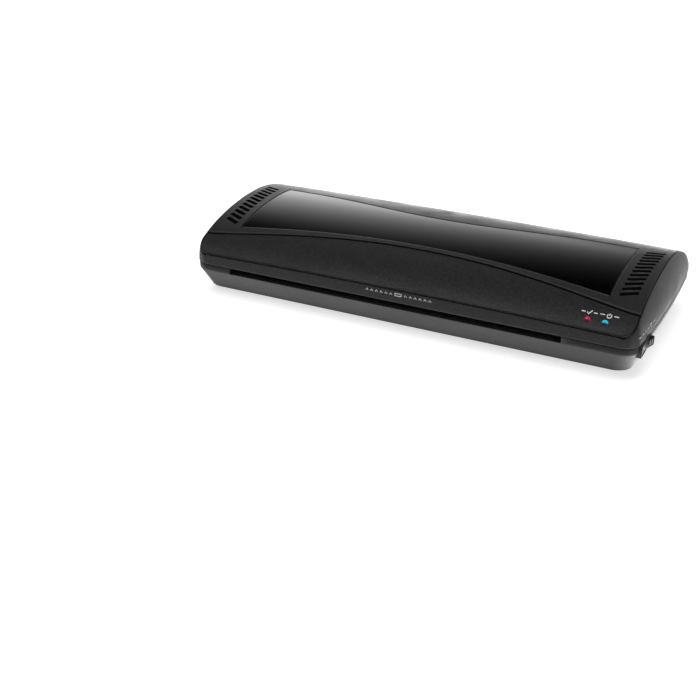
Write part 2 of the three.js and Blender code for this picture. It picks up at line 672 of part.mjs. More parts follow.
// An involute spur gear in the YZ plane; one tooth is centred at the angle phase.
function spurGear(y, z, teeth, phase, bore) {
  const pressure = THREE.MathUtils.degToRad(20);
  const pitch = pitchRadius(teeth);
  const base = pitch * Math.cos(pressure);
  const tip = pitch + 0.85 * gearModule;
  const root = pitch - 1.2 * gearModule;
  const backlash = 0.14;
  const involute = (angle) => Math.tan(angle) - angle;
  const halfPitch = Math.PI / (2 * teeth) - backlash / (2 * pitch) + involute(pressure);
  const halfAngle = (radius) => halfPitch - involute(Math.acos(Math.min(base / radius, 1)));
  const flank = [root, base + 0.02, (base + tip) / 2, tip].map((radius) => [radius, halfAngle(radius)]);
  const outline = [];
  for (let tooth = 0; tooth < teeth; tooth += 1) {
    const centre = phase + (2 * Math.PI * tooth) / teeth;
    const rising = flank.map(([radius, half]) => [radius, centre - half]);
    const falling = flank.map(([radius, half]) => [radius, centre + half]).reverse();
    outline.push(...rising, ...falling);
  }
  const corner = ([radius, angle]) => [y + radius * Math.cos(angle), z + radius * Math.sin(angle)];
  const blank = prismX(polygon(outline.map(corner)), gearX0, gearX1);
  return blank.subtract(rodX(gearX0 - 1, gearX1 + 1, y, z, bore, 16));
}

// Phase of a gear that meshes with a driver: direction runs from the driver's centre to its own.
function meshingPhase(direction, driverTeeth, driverPhase, teeth) {
  const offset = driverPhase - direction;
  return direction + Math.PI - (driverTeeth / teeth) * offset + Math.PI / teeth;
}

function addGears() {
  const lowerPhase = Math.PI / 2;
  const upperPhase = meshingPhase(Math.PI / 2, gearTeeth, lowerPhase, gearTeeth);
  const idlerPhase = meshingPhase(lowerIdlerAngle, gearTeeth, lowerPhase, idlerTeeth);
  const pinionPhase = meshingPhase(idlerPinionAngle, idlerTeeth, idlerPhase, pinionTeeth);
  const shaftBore = shaftRadius + 0.05;
  add('lower_roller_gear', spurGear(rollerY, lowerZ, gearTeeth, lowerPhase, shaftBore), nylon());
  add('upper_roller_gear', spurGear(rollerY, upperZ, gearTeeth, upperPhase, shaftBore), nylon());
  add('idler_gear', spurGear(idlerY, idlerZ, idlerTeeth, idlerPhase, 2.08), nylon());
  add('motor_pinion', spurGear(motorY, motorZ, pinionTeeth, pinionPhase, 2.05), nylon());
  const pin = [[0, 115], [2, 115], [2, 127.9], [0, 127.9]];
  add('idler_pin', turnedX(pin, idlerY, idlerZ, 16), steel());
}

function addMotor() {
  const plate = polygon([
    [84, 20], [98, 5.8], [112, 5.8], [117, 20], [112, 36], [98, 42], [86, 42], [84, 36],
  ]);
  const bracket = cutAll(prismX(plate, bracketX, bracketX + plateThickness), [
    rodX(bracketX - 1, bracketX + 3, motorY, motorZ, 4, 16),
    ...motorPostAt.map(([y, z]) => rodX(bracketX - 1, bracketX + 3, y, z, 1.6, 8)),
  ]);
  add('motor_bracket', bracket, steel());
  const canX = bracketX + plateThickness + 0.2;
  const canEnd = canX + 14.2;
  const can = [
    [0, canX + 1.6], [2.6, canX + 1.6], [2.6, canX], [17, canX], [17.6, canX + 0.6], [17.6, canX + 6],
    [16.8, canX + 6.6], [16.8, canEnd - 0.8], [16, canEnd], [0, canEnd],
  ];
  add('motor_can', turnedX(can, motorY, motorZ, 28), steel());
  const shaft = [[0, 118.2], [2, 118.2], [2, canX + 1.3], [0, canX + 1.3]];
  add('motor_shaft', turnedX(shaft, motorY, motorZ, 16), steel());
  motorPostAt.forEach(([y, z], i) => {
    const post = [[0, 114.9], [1.5, 114.9], [1.5, 117.4], [2.8, 117.4], [2.8, 128], [0, 128]];
    add(`motor_post_${i + 1}`, turnedX(post, y, z, 12), steel());
  });
}

// ---- feet, screws and mains cord -------------------------------------------------------------

function addFeet() {
  footAt.forEach(([x, y], i) => {
    const foot = [[0, 0], [6.2, 0], [6.9, 0.7], [7, footHeight + 0.7], [0, footHeight + 0.7]];
    add(`rubber_foot_${i + 1}`, turned(foot, 20, moved(x, y, 0)), rubber());
  });
  bossAt.forEach(([x, y], i) => {
    const seat = screwSeatZ - 0.1;
    const screw = [
      [0, seat - 2], [0.9, seat - 2], [0.9, seat - 1.4], [2.4, seat - 2], [3.2, seat - 1.4], [3.2, seat],
      [1.5, seat], [1.5, postTop - 6], [0, postTop - 4.5],
    ];
    add(`case_screw_${i + 1}`, turned(screw, 12, moved(x, y, 0)), steel());
  });
}

const cordRadius = 2.9;
const cordPitch = 8;
const cordLie = 3.6; // height of the bundled cord's centre line
const passY = steps(depth + 15, depth + 15 + 2 * cordPitch, 2);
const plugHalf = 12.6;
const plugY = depth + cordReach - plugHalf;
const plugZ = 6.9;

const passLeft = -30; // the bundle's passes run between these two
const passRight = 84;
const at = (x, y, z) => new THREE.Vector3(x, y, z);

// A half turn on the floor from one pass to the next, about (x, y); side is +1 at the right end.
function halfTurn(x, y, side) {
  const radius = cordPitch / 2;
  const angles = steps(-Math.PI / 2, Math.PI / 2, 6);
  const bend = side * radius;
  return angles.map((angle) => at(x + bend * Math.cos(angle), y + radius * Math.sin(angle), cordLie));
}

// The mains cord: out of the rear wall, bundled in three passes on the floor, then into the plug.
function mainsCord() {
  const [near, , far] = passY;
  const drop = new THREE.CatmullRomCurve3(
    [
      at(cordX, depth + 7, cordZ), at(cordX - 1.5, depth + 12, cordZ - 1.6),
      at(cordX - 8, near - 0.4, cordZ - 5), at(cordX - 20, near, cordLie),
    ],
    false,
    'centripetal',
  );
  const rise = new THREE.CatmullRomCurve3([
    at(passLeft, far, cordLie), at(-46, plugY, plugZ), at(-58, plugY, plugZ),
  ]);
  return wire(
    [
      at(cordX, depth - 14, cordZ),
      ...drop.getPoints(10),
      ...halfTurn(passLeft, near + cordPitch / 2, -1),
      ...halfTurn(passRight, far - cordPitch / 2, 1),
      ...rise.getPoints(6),
      at(-62.7, plugY, plugZ),
    ],
    cordRadius,
    10,
  );
}

function addCord() {
  const relief = [
    [0, -13], [6.4, -13], [6.4, -11], [4.7, -11], [4.7, 1], [4.4, 1], [4.4, 2.4], [4, 2.4],
    [4, 3.6], [4.2, 3.6], [4.2, 5], [3.8, 5], [3.8, 6], [0, 6],
  ];
  const bore = [[0, -16], [3.2, -16], [3.2, 9], [0, 9]];
  const place = rearward(cordX, depth - 1, cordZ);
  add('strain_relief', turned(relief, 16, place).subtract(turned(bore, 12, place)), rubber());
  add('mains_cord', mainsCord(), rubber());
  const tieY0 = passY[0] - cordRadius - 0.4;
  const tieY1 = passY[2] + cordRadius + 0.4;
  const tieOuter = box(24, tieY0 - 0.6, 0, 30, tieY1 + 0.6, 7.2);
  add('cord_tie', tieOuter.subtract(box(23, tieY0, 0.5, 31, tieY1, 6.8)), rubber());
  addPlug();
  add('mains_lead', mainsLead(), rubber());
}

function addPlug() {
  const outline = polygon([
    [-98, -plugHalf + 1.5], [-96.5, -plugHalf], [-82, -plugHalf], [-66, -5], [-63, -4.4],
    [-63, 4.4], [-66, 5], [-82, plugHalf], [-96.5, plugHalf], [-98, plugHalf - 1.5],
  ]);
  const body = prism(outline, plugZ - 6.8, plugZ + 6.8);
  const placed = body.translate([0, plugY, 0]);
  add('plug_body', placed, rubber());
  for (const [name, side] of [['plug_pin_near', -1], ['plug_pin_far', 1]]) {
    const pin = [[0, -116], [1.6, -116], [2, -115], [2, -98.1], [0, -98.1]];
    add(name, turnedX(pin, plugY + side * 9.2, plugZ, 12), brass());
  }
}

// The live lead from the cord's inner end to the switch.
function mainsLead() {
  const low = floorZ + 2;
  const route = new THREE.CatmullRomCurve3(
    [
      at(cordX, depth - 18, cordZ), at(cordX + 5, depth - 22, cordZ - 3), at(146.6, 112, low),
      at(146.8, 90, low), at(146.6, 66, low), at(142, 46, low), at(130, 36, low),
      at(121, 22, rockerZ - 3), at(124, rockerY - 8, rockerZ),
    ],
    false,
    'centripetal',
  );
  const start = at(cordX, depth - 14.3, cordZ);
  const end = at(126.2, rockerY - 8, rockerZ);
  return wire([start, ...route.getPoints(30), end], 1.2, 6);
}

// ---- assembly --------------------------------------------------------------------------------

add('lower_casing', lowerCasing(), blackPlastic());
add('upper_frame', upperFrame(), blackPlastic());
add('front_fascia', fascia(), fasciaPlastic());
add('top_cover', topCover(), blackPlastic());
add('gloss_panel', glossPanel(), glossBlack());
addLights();
addSwitch();
addFrame();
addRollers();
addHeater();
addGuides();
addGears();
addMotor();
addFeet();
addCord();

export default group;
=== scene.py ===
# Looks of the pouch laminator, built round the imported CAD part.
# Shapes are worked out in millimetres from the front lip (y = 0) and placed in the row frame in metres.

import json
import math

import bmesh
import bpy
from mathutils import Matrix, Vector


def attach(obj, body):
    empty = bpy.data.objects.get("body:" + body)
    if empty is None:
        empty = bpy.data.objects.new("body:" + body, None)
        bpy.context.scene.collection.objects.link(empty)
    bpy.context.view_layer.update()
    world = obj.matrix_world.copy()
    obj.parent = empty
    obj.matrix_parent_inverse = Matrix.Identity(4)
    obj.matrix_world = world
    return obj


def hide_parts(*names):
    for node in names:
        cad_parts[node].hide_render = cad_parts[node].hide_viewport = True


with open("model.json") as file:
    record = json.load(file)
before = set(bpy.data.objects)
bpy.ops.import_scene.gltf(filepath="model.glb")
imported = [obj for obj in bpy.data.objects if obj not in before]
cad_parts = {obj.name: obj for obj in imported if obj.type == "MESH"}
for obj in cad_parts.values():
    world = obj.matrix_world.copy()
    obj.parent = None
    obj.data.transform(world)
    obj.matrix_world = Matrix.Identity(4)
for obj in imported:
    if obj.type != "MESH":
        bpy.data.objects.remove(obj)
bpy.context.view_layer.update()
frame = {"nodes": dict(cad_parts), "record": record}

MM = 0.001
ORIGIN_Y = 91.5  # from the front lip to the row's origin

# ---- driving dimensions, as in the CAD ---------------------------------------------------------

WIDTH = 317
DEPTH = 139
FOOT_HEIGHT = 3
SEAM_Z = 22.7
CREST_RISE = 28.2
CROWN = 1.1
CREST_Y = 75
LIP_RATIO = 0.262
LIP_BOW = 0.045
SIDE_BOW = 3
WIDEST_Y = 85
FRONT_CORNER = 10
REAR_CORNER = 1.5
ROLL_SHARE = 0.18
CHEEK_ARC = 0.6  # share of a quarter circle that a cheek's face follows
RIDGE = math.sqrt(1 - (1 - CHEEK_ARC) ** 2)  # that arc's rise, as a share of its radius
WALL = 2.2
SEAM_X = 153.2
SKIN_CORNER = 8
SKIN_END = 0.3  # the cover and fascia stop this far short of the lips
GROOVE = 0.34  # each side of a seam stands this far from its middle
THROAT = (-127, 110)
SLOT_Z = 18.3
BAND_Z = 18.2
BASE_SIDE = 4.6
BASE_END = 8
REVEAL = 0.25  # the base is drawn in this far under the upper frame
FASCIA_DROP = 0.8
ARCH = (14.4, 20.4, 1.4)  # y at its ends, rise in its middle, and how pointed its curve is
PANEL_HALF = 131
PANEL_FRONT = (24.6, 14.2, 1.15)
PANEL_REAR = (95, -12, 3)
PANEL_DROP = 0.2
PANEL_GAP = 0.15
VENT_Y = (30, 90.6)
SWITCH_Y = (9.2, 33.8)
SWITCH_Z = (13.9, 21.9)
ROCKER = (153.4, 21.5, 17.9)
LED_Y = 5.6
LED_RADIUS = 1.9
LED_X = {"ready": 123.4, "power": 134.2}
CASE_SCREWS = [(-147, 42), (147, 42), (-147, 125), (147, 125)]
FEET = [(-136, 26), (136, 26), (-136, 113), (136, 113)]
CORD_X = 132
CORD_Z = 12
CORD_LIE = 3.6  # height of the bundled cord's middle
CORD_RUNS = (DEPTH + 15, DEPTH + 31)
PLUG_Y = DEPTH + 31.4
PLUG_Z = 6.9


def steps(low, high, count):
    return [low + (high - low) * i / count for i in range(count + 1)]


# ---- surface formulas --------------------------------------------------------------------------


def corner_cut(distance, radius):
    if distance >= radius:
        return 0
    return radius - math.sqrt(max(radius**2 - (radius - distance) ** 2, 0))


def half_width(y):
    bowed = WIDTH / 2 - SIDE_BOW * ((y - WIDEST_Y) / WIDEST_Y) ** 2
    return bowed - corner_cut(max(y, 0), FRONT_CORNER) - corner_cut(max(DEPTH - y, 0), REAR_CORNER)


def bulge(x):
    return max(1 - (x / (SEAM_X - 3)) ** 2, 0)


def cover_height(x, y, drop=0):
    reach = CREST_Y if y < CREST_Y else DEPTH - CREST_Y
    lip = LIP_RATIO + LIP_BOW * bulge(x)
    share = math.sqrt(1 - (1 - lip**2) * min(((y - CREST_Y) / reach) ** 2, 1))
    return (CREST_RISE - drop + CROWN * bulge(x)) * share


def top_z(x, y, drop=0):
    """Height of the outer skin over a plan point."""
    side_rise = cover_height(SEAM_X, y, drop)
    roll_width = ROLL_SHARE * side_rise
    depth_in = half_width(y) - abs(x)
    if depth_in >= roll_width:
        return SEAM_Z + cover_height(x, y, drop)
    share = max(depth_in / roll_width, 0)
    return SEAM_Z + side_rise * math.sqrt(1 - (1 - CHEEK_ARC * share) ** 2) / RIDGE


def normal_at(x, y, drop=0):
    reach = 0.2
    slope_x = (top_z(x + reach, y, drop) - top_z(x - reach, y, drop)) / (2 * reach)
    slope_y = (top_z(x, y + reach, drop) - top_z(x, y - reach, drop)) / (2 * reach)
    return Vector((-slope_x, -slope_y, 1)).normalized()


def lip_z(x):
    return SEAM_Z + cover_height(x, 0)


def bowed_line(x, half, shape):
    ends, rise, power = shape
    return ends + rise * max(1 - (x / half) ** 2, 0) ** power


def arch_y(x):
    return bowed_line(x, SEAM_X, ARCH)


def panel_front(x):
    return bowed_line(x, PANEL_HALF, PANEL_FRONT)


def panel_rear(x):
    return bowed_line(x, PANEL_HALF, PANEL_REAR)


def skin_front(x):
    return SKIN_END + GROOVE + corner_cut(SEAM_X - GROOVE - abs(x), SKIN_CORNER - GROOVE)


def skin_edge(x, y):
    """Distance in plan from a point to the seam round the cover and fascia."""
    radius = SKIN_CORNER - GROOVE
    across = SEAM_X - GROOVE - abs(x)
    along = min(y, DEPTH - y) - SKIN_END - GROOVE
    if across < radius and along < radius:
        return radius - math.hypot(radius - across, radius - along)
    return min(across, along)


def line_distance(x, y, line):
    """Distance in plan from a point to a line y(x), positive behind it."""
    slope = line(x + 0.5) - line(x - 0.5)
    return (y - line(x)) / math.sqrt(1 + slope**2)


def rounding(distance, radius):
    """Fall of an edge rounded to a radius, at a distance in from the edge."""
    distance = max(distance, 0)
    if distance >= radius:
        return 0
    return radius - math.sqrt(radius**2 - (radius - distance) ** 2)


# ---- meshes ------------------------------------------------------------------------------------


def place(point):
    return (point[0] * MM, (point[1] - ORIGIN_Y) * MM, point[2] * MM)


def make_object(name, verts, faces):
    mesh = bpy.data.meshes.new(name)
    mesh.from_pydata([place(v) for v in verts], [], faces)
    shape = bmesh.new()
    shape.from_mesh(mesh)
    bmesh.ops.remove_doubles(shape, verts=shape.verts, dist=1e-7)
    bmesh.ops.recalc_face_normals(shape, faces=shape.faces)
    shape.to_mesh(mesh)
    shape.free()
    thing = bpy.data.objects.new(name, mesh)
    bpy.context.scene.collection.objects.link(thing)
    return thing


def finish_piece(thing, material, body="casing", replaces=(), degrees=35):
    """Shades a piece, gives it its material and finish, and puts it on its body."""
    thing.data.shade_smooth()
    thing.data.set_sharp_from_angle(angle=math.radians(degrees))
    thing.data.materials.clear()
    thing.data.materials.append(material)
    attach(thing, body)
    if replaces:
        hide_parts(*replaces)


def round_edges(thing, radius):
    """Rounds every sharp edge of a closed piece."""
    shape = bmesh.new()
    shape.from_mesh(thing.data)
    sharp = [e for e in shape.edges if e.calc_face_angle() > math.radians(30)]
    bmesh.ops.bevel(
        shape, geom=sharp, offset=radius * MM, offset_type="OFFSET", segments=3,
        profile=0.5, affect="EDGES", clamp_overlap=True,
    )
    shape.to_mesh(thing.data)
    shape.free()


def cut(thing, cutters):
    """Cuts other objects away from a piece, then removes them."""
    for cutter in cutters:
        tool = thing.modifiers.new("cut", "BOOLEAN")
        tool.operation = "DIFFERENCE"
        tool.solver = "EXACT"
        tool.object = cutter
    bpy.context.view_layer.update()
    shown = thing.evaluated_get(bpy.context.evaluated_depsgraph_get())
    mesh = bpy.data.meshes.new_from_object(shown)
    thing.modifiers.clear()
    thing.data = mesh
    for cutter in cutters:
        bpy.data.objects.remove(cutter)


def grid_solid(name, columns, top, bottom, tuck=lambda x, y: 0):
    """A closed sheet over a grid of plan points, between two heights; tuck moves the underside back."""
    count = len(columns)
    rows = len(columns[0])
    flat = [point for column in columns for point in column]
    verts = [(x, y, top(x, y)) for x, y in flat]
    verts += [(x, y + tuck(x, y), bottom(x, y)) for x, y in flat]
    under = count * rows
    faces = []
    for i in range(count - 1):
        for j in range(rows - 1):
            a = i * rows + j
            b = a + rows
            faces.append((a, b, b + 1, a + 1))
            faces.append((under + a, under + a + 1, under + b + 1, under + b))
    rim = [i * rows for i in range(count)]
    rim += [(count - 1) * rows + j for j in range(1, rows)]
    rim += [i * rows + rows - 1 for i in range(count - 2, -1, -1)]
    rim += [j for j in range(rows - 2, 0, -1)]
    for a, b in zip(rim, rim[1:] + rim[:1]):
        faces.append((a, under + a, under + b, b))
    return make_object(name, verts, faces)


def loft_faces(rows, size, start=0, closed=False):
    """Faces through rows of points stored from start on. The ends are capped, or joined when closed."""
    faces = []
    for row in range(rows if closed else rows - 1):
        here = start + row * size
        above = start + (row + 1) % rows * size
        for i in range(size):
            ahead = (i + 1) % size
            faces.append((here + i, here + ahead, above + ahead, above + i))
    if not closed:
        last = start + (rows - 1) * size
        faces.append(tuple(range(start + size - 1, start - 1, -1)))
        faces.append(tuple(range(last, last + size)))
    return faces


def loft(name, loops, closed=False):
    """A solid through loops of equal length."""
    verts = [point for loop in loops for point in loop]
    return make_object(name, verts, loft_faces(len(loops), len(loops[0]), closed=closed))


def circle(radius, count):
    angles = steps(0, 2 * math.pi, count)[:-1]
    return [(radius * math.cos(angle), radius * math.sin(angle)) for angle in angles]


def lathe(name, pairs, matrix, segments=40):
    """A turned solid with flat ends, through (radius, height) pairs."""
    loops = []
    for radius, height in pairs:
        loops.append([tuple(matrix @ Vector((x, y, height))) for x, y in circle(radius, segments)])
    return loft(name, loops)


def box_object(name, low, high):
    loops = [
        [(low[0], low[1], z), (high[0], low[1], z), (high[0], high[1], z), (low[0], high[1], z)]
        for z in (low[2], high[2])
    ]
    return loft(name, loops)


def tube(name, points, radius):
    """A round cord through a list of points."""
    side = Vector((0, 0, 1))
    loops = []
    for i, point in enumerate(points):
        ahead = (points[min(i + 1, len(points) - 1)] - points[max(i - 1, 0)]).normalized()
        side = (side - ahead * side.dot(ahead)).normalized()
        up = ahead.cross(side)
        loops.append([tuple(point + side * a + up * b) for a, b in circle(radius, 20)])
    return loft(name, loops)


def squared_circle(power_y, power_z, count):
    """Points round a unit circle; powers below 1 square it up."""
    ring = []
    for c, s in circle(1, count):
        ring.append((math.copysign(abs(c) ** power_y, c), math.copysign(abs(s) ** power_z, s)))
    return ring


def frame_at(x, y, z, normal):
    """Matrix with its origin at a point and +Z along a normal; +X stays near the machine's +X."""
    normal = Vector(normal).normalized()
    across = Vector((1, 0, 0))
    across = (across - normal * across.dot(normal)).normalized()
    up = normal.cross(across)
    turn = Matrix((across, up, normal)).transposed()
    return Matrix.Translation((x, y, z)) @ turn.to_4x4()


# ---- materials ---------------------------------------------------------------------------------


def math_node(tree, operation, first, second):
    """A math node's result; each of its inputs is a socket or a number."""
    node = tree.nodes.new("ShaderNodeMath")
    node.operation = operation
    for entry, value in zip(node.inputs, (first, second)):
        if isinstance(value, bpy.types.NodeSocket):
            tree.links.new(value, entry)
        else:
            entry.default_value = value
    return node.outputs["Value"]


class Nodes:
    """A material's node tree with short calls for the nodes that the finishes share."""

    def __init__(self, name):
        self.material = bpy.data.materials.new(name)
        self.material.use_nodes = True
        self.tree = self.material.node_tree
        self.shader = self.tree.nodes["Principled BSDF"]
        self.where = self.tree.nodes.new("ShaderNodeTexCoord").outputs["Object"]

    def noise(self, scale, detail=4, stretch=(1, 1, 1)):
        mapping = self.tree.nodes.new("ShaderNodeMapping")
        mapping.inputs["Scale"].default_value = stretch
        self.tree.links.new(self.where, mapping.inputs["Vector"])
        texture = self.tree.nodes.new("ShaderNodeTexNoise")
        texture.inputs["Scale"].default_value = scale
        texture.inputs["Detail"].default_value = detail
        self.tree.links.new(mapping.outputs["Vector"], texture.inputs["Vector"])
        return texture.outputs["Fac"]

    def cells(self, scale):
        texture = self.tree.nodes.new("ShaderNodeTexVoronoi")
        texture.inputs["Scale"].default_value = scale
        self.tree.links.new(self.where, texture.inputs["Vector"])
        return texture.outputs["Distance"]

    def spread(self, value, low, high, start=0.35, end=0.65):
        node = self.tree.nodes.new("ShaderNodeMapRange")
        node.inputs["From Min"].default_value = start
        node.inputs["From Max"].default_value = end
        node.inputs["To Min"].default_value = low
        node.inputs["To Max"].default_value = high
        self.tree.links.new(value, node.inputs["Value"])
        return node.outputs["Result"]

    def times(self, first, second):
        return math_node(self.tree, "MULTIPLY", first, second)

    def axes(self):
        """The place in the row frame, in metres, as separate axes."""
        split = self.tree.nodes.new("ShaderNodeSeparateXYZ")
        self.tree.links.new(self.where, split.inputs[0])
        return split.outputs

    def blend(self, factor, first, second):
        node = self.tree.nodes.new("ShaderNodeMix")
        node.data_type = "RGBA"
        for entry, color in ((node.inputs["A"], first), (node.inputs["B"], second)):
            if isinstance(color, bpy.types.NodeSocket):
                self.tree.links.new(color, entry)
            else:
                entry.default_value = (*color, 1)
        self.tree.links.new(factor, node.inputs["Factor"])
        return node.outputs["Result"]

    def bump(self, height, strength, distance, after=None):
        node = self.tree.nodes.new("ShaderNodeBump")
        node.inputs["Strength"].default_value = strength
        node.inputs["Distance"].default_value = distance
        self.tree.links.new(height, node.inputs["Height"])
        if after is not None:
            self.tree.links.new(after, node.inputs["Normal"])
        return node.outputs["Normal"]

    def set(self, **values):
        """Sets the shader's inputs by name; each value is a socket or a plain value."""
        for name, value in values.items():
            socket = self.shader.inputs[name.replace("_", " ")]
            if isinstance(value, bpy.types.NodeSocket):
                self.tree.links.new(value, socket)
            else:
                socket.default_value = value
        return self.material


def moulded(name, dark, light, rough, grain, grain_depth, spec=0.5):
    """Spark-eroded plastic: fine mottled grain, uneven gloss, and convex edges painted lighter as a painted
    highlight.
    """
    nodes = Nodes(name)
    speckle = nodes.spread(nodes.noise(grain, 3), 0, 1)
    smears = nodes.noise(40, 6)
    fine = nodes.bump(nodes.noise(grain * 2.2, 2), 0.35, grain_depth)
    edges = nodes.tree.nodes.new("ShaderNodeNewGeometry").outputs["Pointiness"]
    # painted highlight: convex edges are lightened in colour, standing in for light caught along rounded
    # edges
    painted_edge_highlight = nodes.spread(edges, 0, 1, 0.53, 0.62)
    edge_highlight_colour = tuple(min(c + 0.05, 1) for c in light)
    return nodes.set(
        Base_Color=nodes.blend(painted_edge_highlight, nodes.blend(speckle, dark, light), edge_highlight_colour),
        Roughness=nodes.spread(smears, rough - 0.035, rough + 0.045),
        Normal=nodes.bump(nodes.noise(grain, 3), 0.6, grain_depth * 1.6, fine),
        Specular_IOR_Level=spec,
    )


def polished(name, color):
    """High-gloss plastic with faint ripple, dust and wiping marks."""
    nodes = Nodes(name)
    wiping = nodes.noise(60, 6, (0.4, 3, 1))
    dust = nodes.spread(nodes.noise(2600, 2), 0, 1, 0.7, 0.78)
    return nodes.set(
        Base_Color=nodes.blend(dust, color, (0.03, 0.03, 0.03)),
        Roughness=nodes.spread(wiping, 0.05, 0.11),
        Normal=nodes.bump(nodes.noise(22, 2), 0.05, 0.0004),
        Coat_Weight=0.3,
        Coat_Roughness=0.04,
    )


def metal(name, color, rough, stretch):
    """Brushed or drawn metal with streaks along one direction and cloudy tarnish."""
    nodes = Nodes(name)
    streaks = nodes.noise(900, 4, stretch)
    cloud = nodes.spread(nodes.noise(70, 4), 0, 1)
    darker = tuple(0.72 * c for c in color)
    return nodes.set(
        Base_Color=nodes.blend(cloud, color, darker),
        Metallic=1.0,
        Roughness=nodes.spread(streaks, rough - 0.08, rough + 0.1),
        Normal=nodes.bump(streaks, 0.15, 0.00003),
    )


def elastomer(name, dark, light, rough):
    """Rubber or silicone: soft sheen, dusty patches, fine pitting."""
    nodes = Nodes(name)
    dust = nodes.spread(nodes.noise(140, 5), 0, 1, 0.4, 0.7)
    return nodes.set(
        Base_Color=nodes.blend(dust, dark, light),
        Roughness=nodes.spread(nodes.noise(300, 3), rough - 0.06, rough + 0.06),
        Normal=nodes.bump(nodes.cells(2400), 0.25, 0.00005),
        Sheen_Weight=0.1,
    )


def lens(name, deep, bright, glow):
    """Tinted lens over a lamp: glossy, lit from its rear half, with faint moulding ripple."""
    nodes = Nodes(name)
    flow = nodes.spread(nodes.noise(900, 2), 0, 1)
    darker = tuple(0.55 * c for c in deep)
    middle = (LED_Y - 0.6 - ORIGIN_Y) * MM
    core = nodes.spread(nodes.axes()["Y"], 0.04 * glow, glow, middle - 0.5 * MM, middle + 0.5 * MM)
    level = top_z(LED_X["ready"], LED_Y, FASCIA_DROP)
    dome = nodes.spread(nodes.axes()["Z"], 0, 1, (level - 0.9) * MM, (level - 0.4) * MM)
    return nodes.set(
        Base_Color=nodes.blend(flow, deep, darker),
        Roughness=0.12,
        Emission_Color=(*bright, 1),
        Emission_Strength=nodes.times(core, dome),
        Normal=nodes.bump(nodes.noise(1500, 2), 0.08, 0.0001),
        Coat_Weight=1.0,
    )


def ink(name, color):
    """Silk-screened ink, slightly uneven where it sits on the grain."""
    nodes = Nodes(name)
    patchy = nodes.spread(nodes.noise(2800, 3), 0, 1, 0.3, 0.6)
    worn = tuple(0.7 * c for c in color)
    return nodes.set(
        Base_Color=nodes.blend(patchy, worn, color),
        Roughness=nodes.spread(nodes.noise(1800, 2), 0.45, 0.6),
        Normal=nodes.bump(nodes.noise(3200, 3), 0.3, 0.00003),
    )


def grey(value, tint=0):
    return (value, value, value + tint)


def make_materials():
    # moulded: dark, light, roughness, grain's scale and depth; metal: colour, roughness, streaks
    return {
        "casing": moulded("casing_abs", grey(0.0105, 0.0005), grey(0.0235, 0.0005), 0.42, 1350, 0.00006),
        "fascia": moulded("fascia_abs", grey(0.004, 0.0003), grey(0.022, 0.0005), 0.5, 1150, 0.00012),
        "switch": moulded("switch_nylon", grey(0.004), grey(0.007), 0.36, 2200, 0.00002, 0.14),
        "gloss": polished("gloss_black", grey(0.0008, 0.0002)),
        "ready": lens("ready_lens", (0.16, 0.001, 0.012), (0.62, 0.03, 0.12), 0.85),
        "power": lens("power_lens", (0.001, 0.02, 0.12), (0.05, 0.62, 0.75), 0.9),
        "board": moulded("solder_mask", (0.01, 0.09, 0.03), (0.02, 0.14, 0.05), 0.35, 700, 0.00003),
        "brass": metal("drawn_brass", (0.66, 0.45, 0.16), 0.28, (1, 6, 6)),
        "pin": metal("nickel_pin", (0.55, 0.53, 0.5), 0.24, (1, 8, 8)),
        "steel": metal("zinc_steel", (0.42, 0.43, 0.45), 0.36, (0.3, 5, 5)),
        "aluminium": metal("extruded_aluminium", (0.56, 0.58, 0.6), 0.34, (0.15, 6, 6)),
        "nylon": moulded("natural_nylon", (0.62, 0.58, 0.47), (0.72, 0.69, 0.58), 0.45, 900, 0.00004),
        "silicone": elastomer("ground_silicone", (0.36, 0.05, 0.025), (0.45, 0.085, 0.05), 0.62),
        "mica": moulded("mica_wrap", (0.36, 0.29, 0.18), (0.5, 0.42, 0.3), 0.6, 420, 0.00008),
        "rubber": elastomer("black_rubber", grey(0.008), grey(0.02), 0.62),
        "cord": elastomer("pvc_cord", grey(0.007), grey(0.014), 0.42),
        "ink": ink("white_ink", grey(0.72)),
        "faint_ink": ink("grey_ink", grey(0.16)),
    }


# ---- cover, fascia and gloss panel -------------------------------------------------------------

FINE = [0, 0.08, 0.22, 0.45, 0.8]  # distances in from an edge, close together to round it
ARCH_GROOVE = 0.62  # each side of the arched seam stands this far from its middle
ARCH_REACH = ARCH_GROOVE * 1.05  # the same, measured along y where the seam slants most
ARCH_ROUND = 0.8
COVER_THICK = 3
POCKET_DEPTH = 1.7
POCKET_GAP = 0.25
POCKET_REACH = POCKET_GAP * 1.08


def between(low, high, count):
    """Rows from one edge to another, close together at both."""
    middle = steps(low + FINE[-1], high - FINE[-1], count)
    return [low + f for f in FINE[:-1]] + middle + [high - f for f in reversed(FINE[:-1])]


def side_columns(start):
    """Columns from a plan distance out to the side seam, closer together near its corners."""
    end = SEAM_X - GROOVE
    near = [end - f for f in (7.6, 6.2, 4.9, 3.7, 2.7, 1.9, 1.3)]
    span = steps(start, near[0], 9)[:-1]
    return span + near + [end - f for f in reversed(FINE)]


def mirrored(columns):
    return [-x for x in reversed(columns) if x > 0] + columns


def cover_rim(x, y):
    arch = rounding(line_distance(x, y, arch_y) - ARCH_GROOVE, ARCH_ROUND)
    return max(rounding(skin_edge(x, y), 0.45), arch)


def pocket_distance(x, y):
    """Distance in plan from a point out to the edge of the panel's pocket, negative inside it."""
    ahead = -line_distance(x, y, panel_front)
    behind = line_distance(x, y, panel_rear)
    return max(abs(x) - PANEL_HALF, ahead, behind) - POCKET_GAP


def cover_top(x, y):
    z = top_z(x, y) - cover_rim(x, y)
    distance = pocket_distance(x, y)
    if distance < -0.01:
        return z - POCKET_DEPTH
    return z - rounding(distance, 0.3)


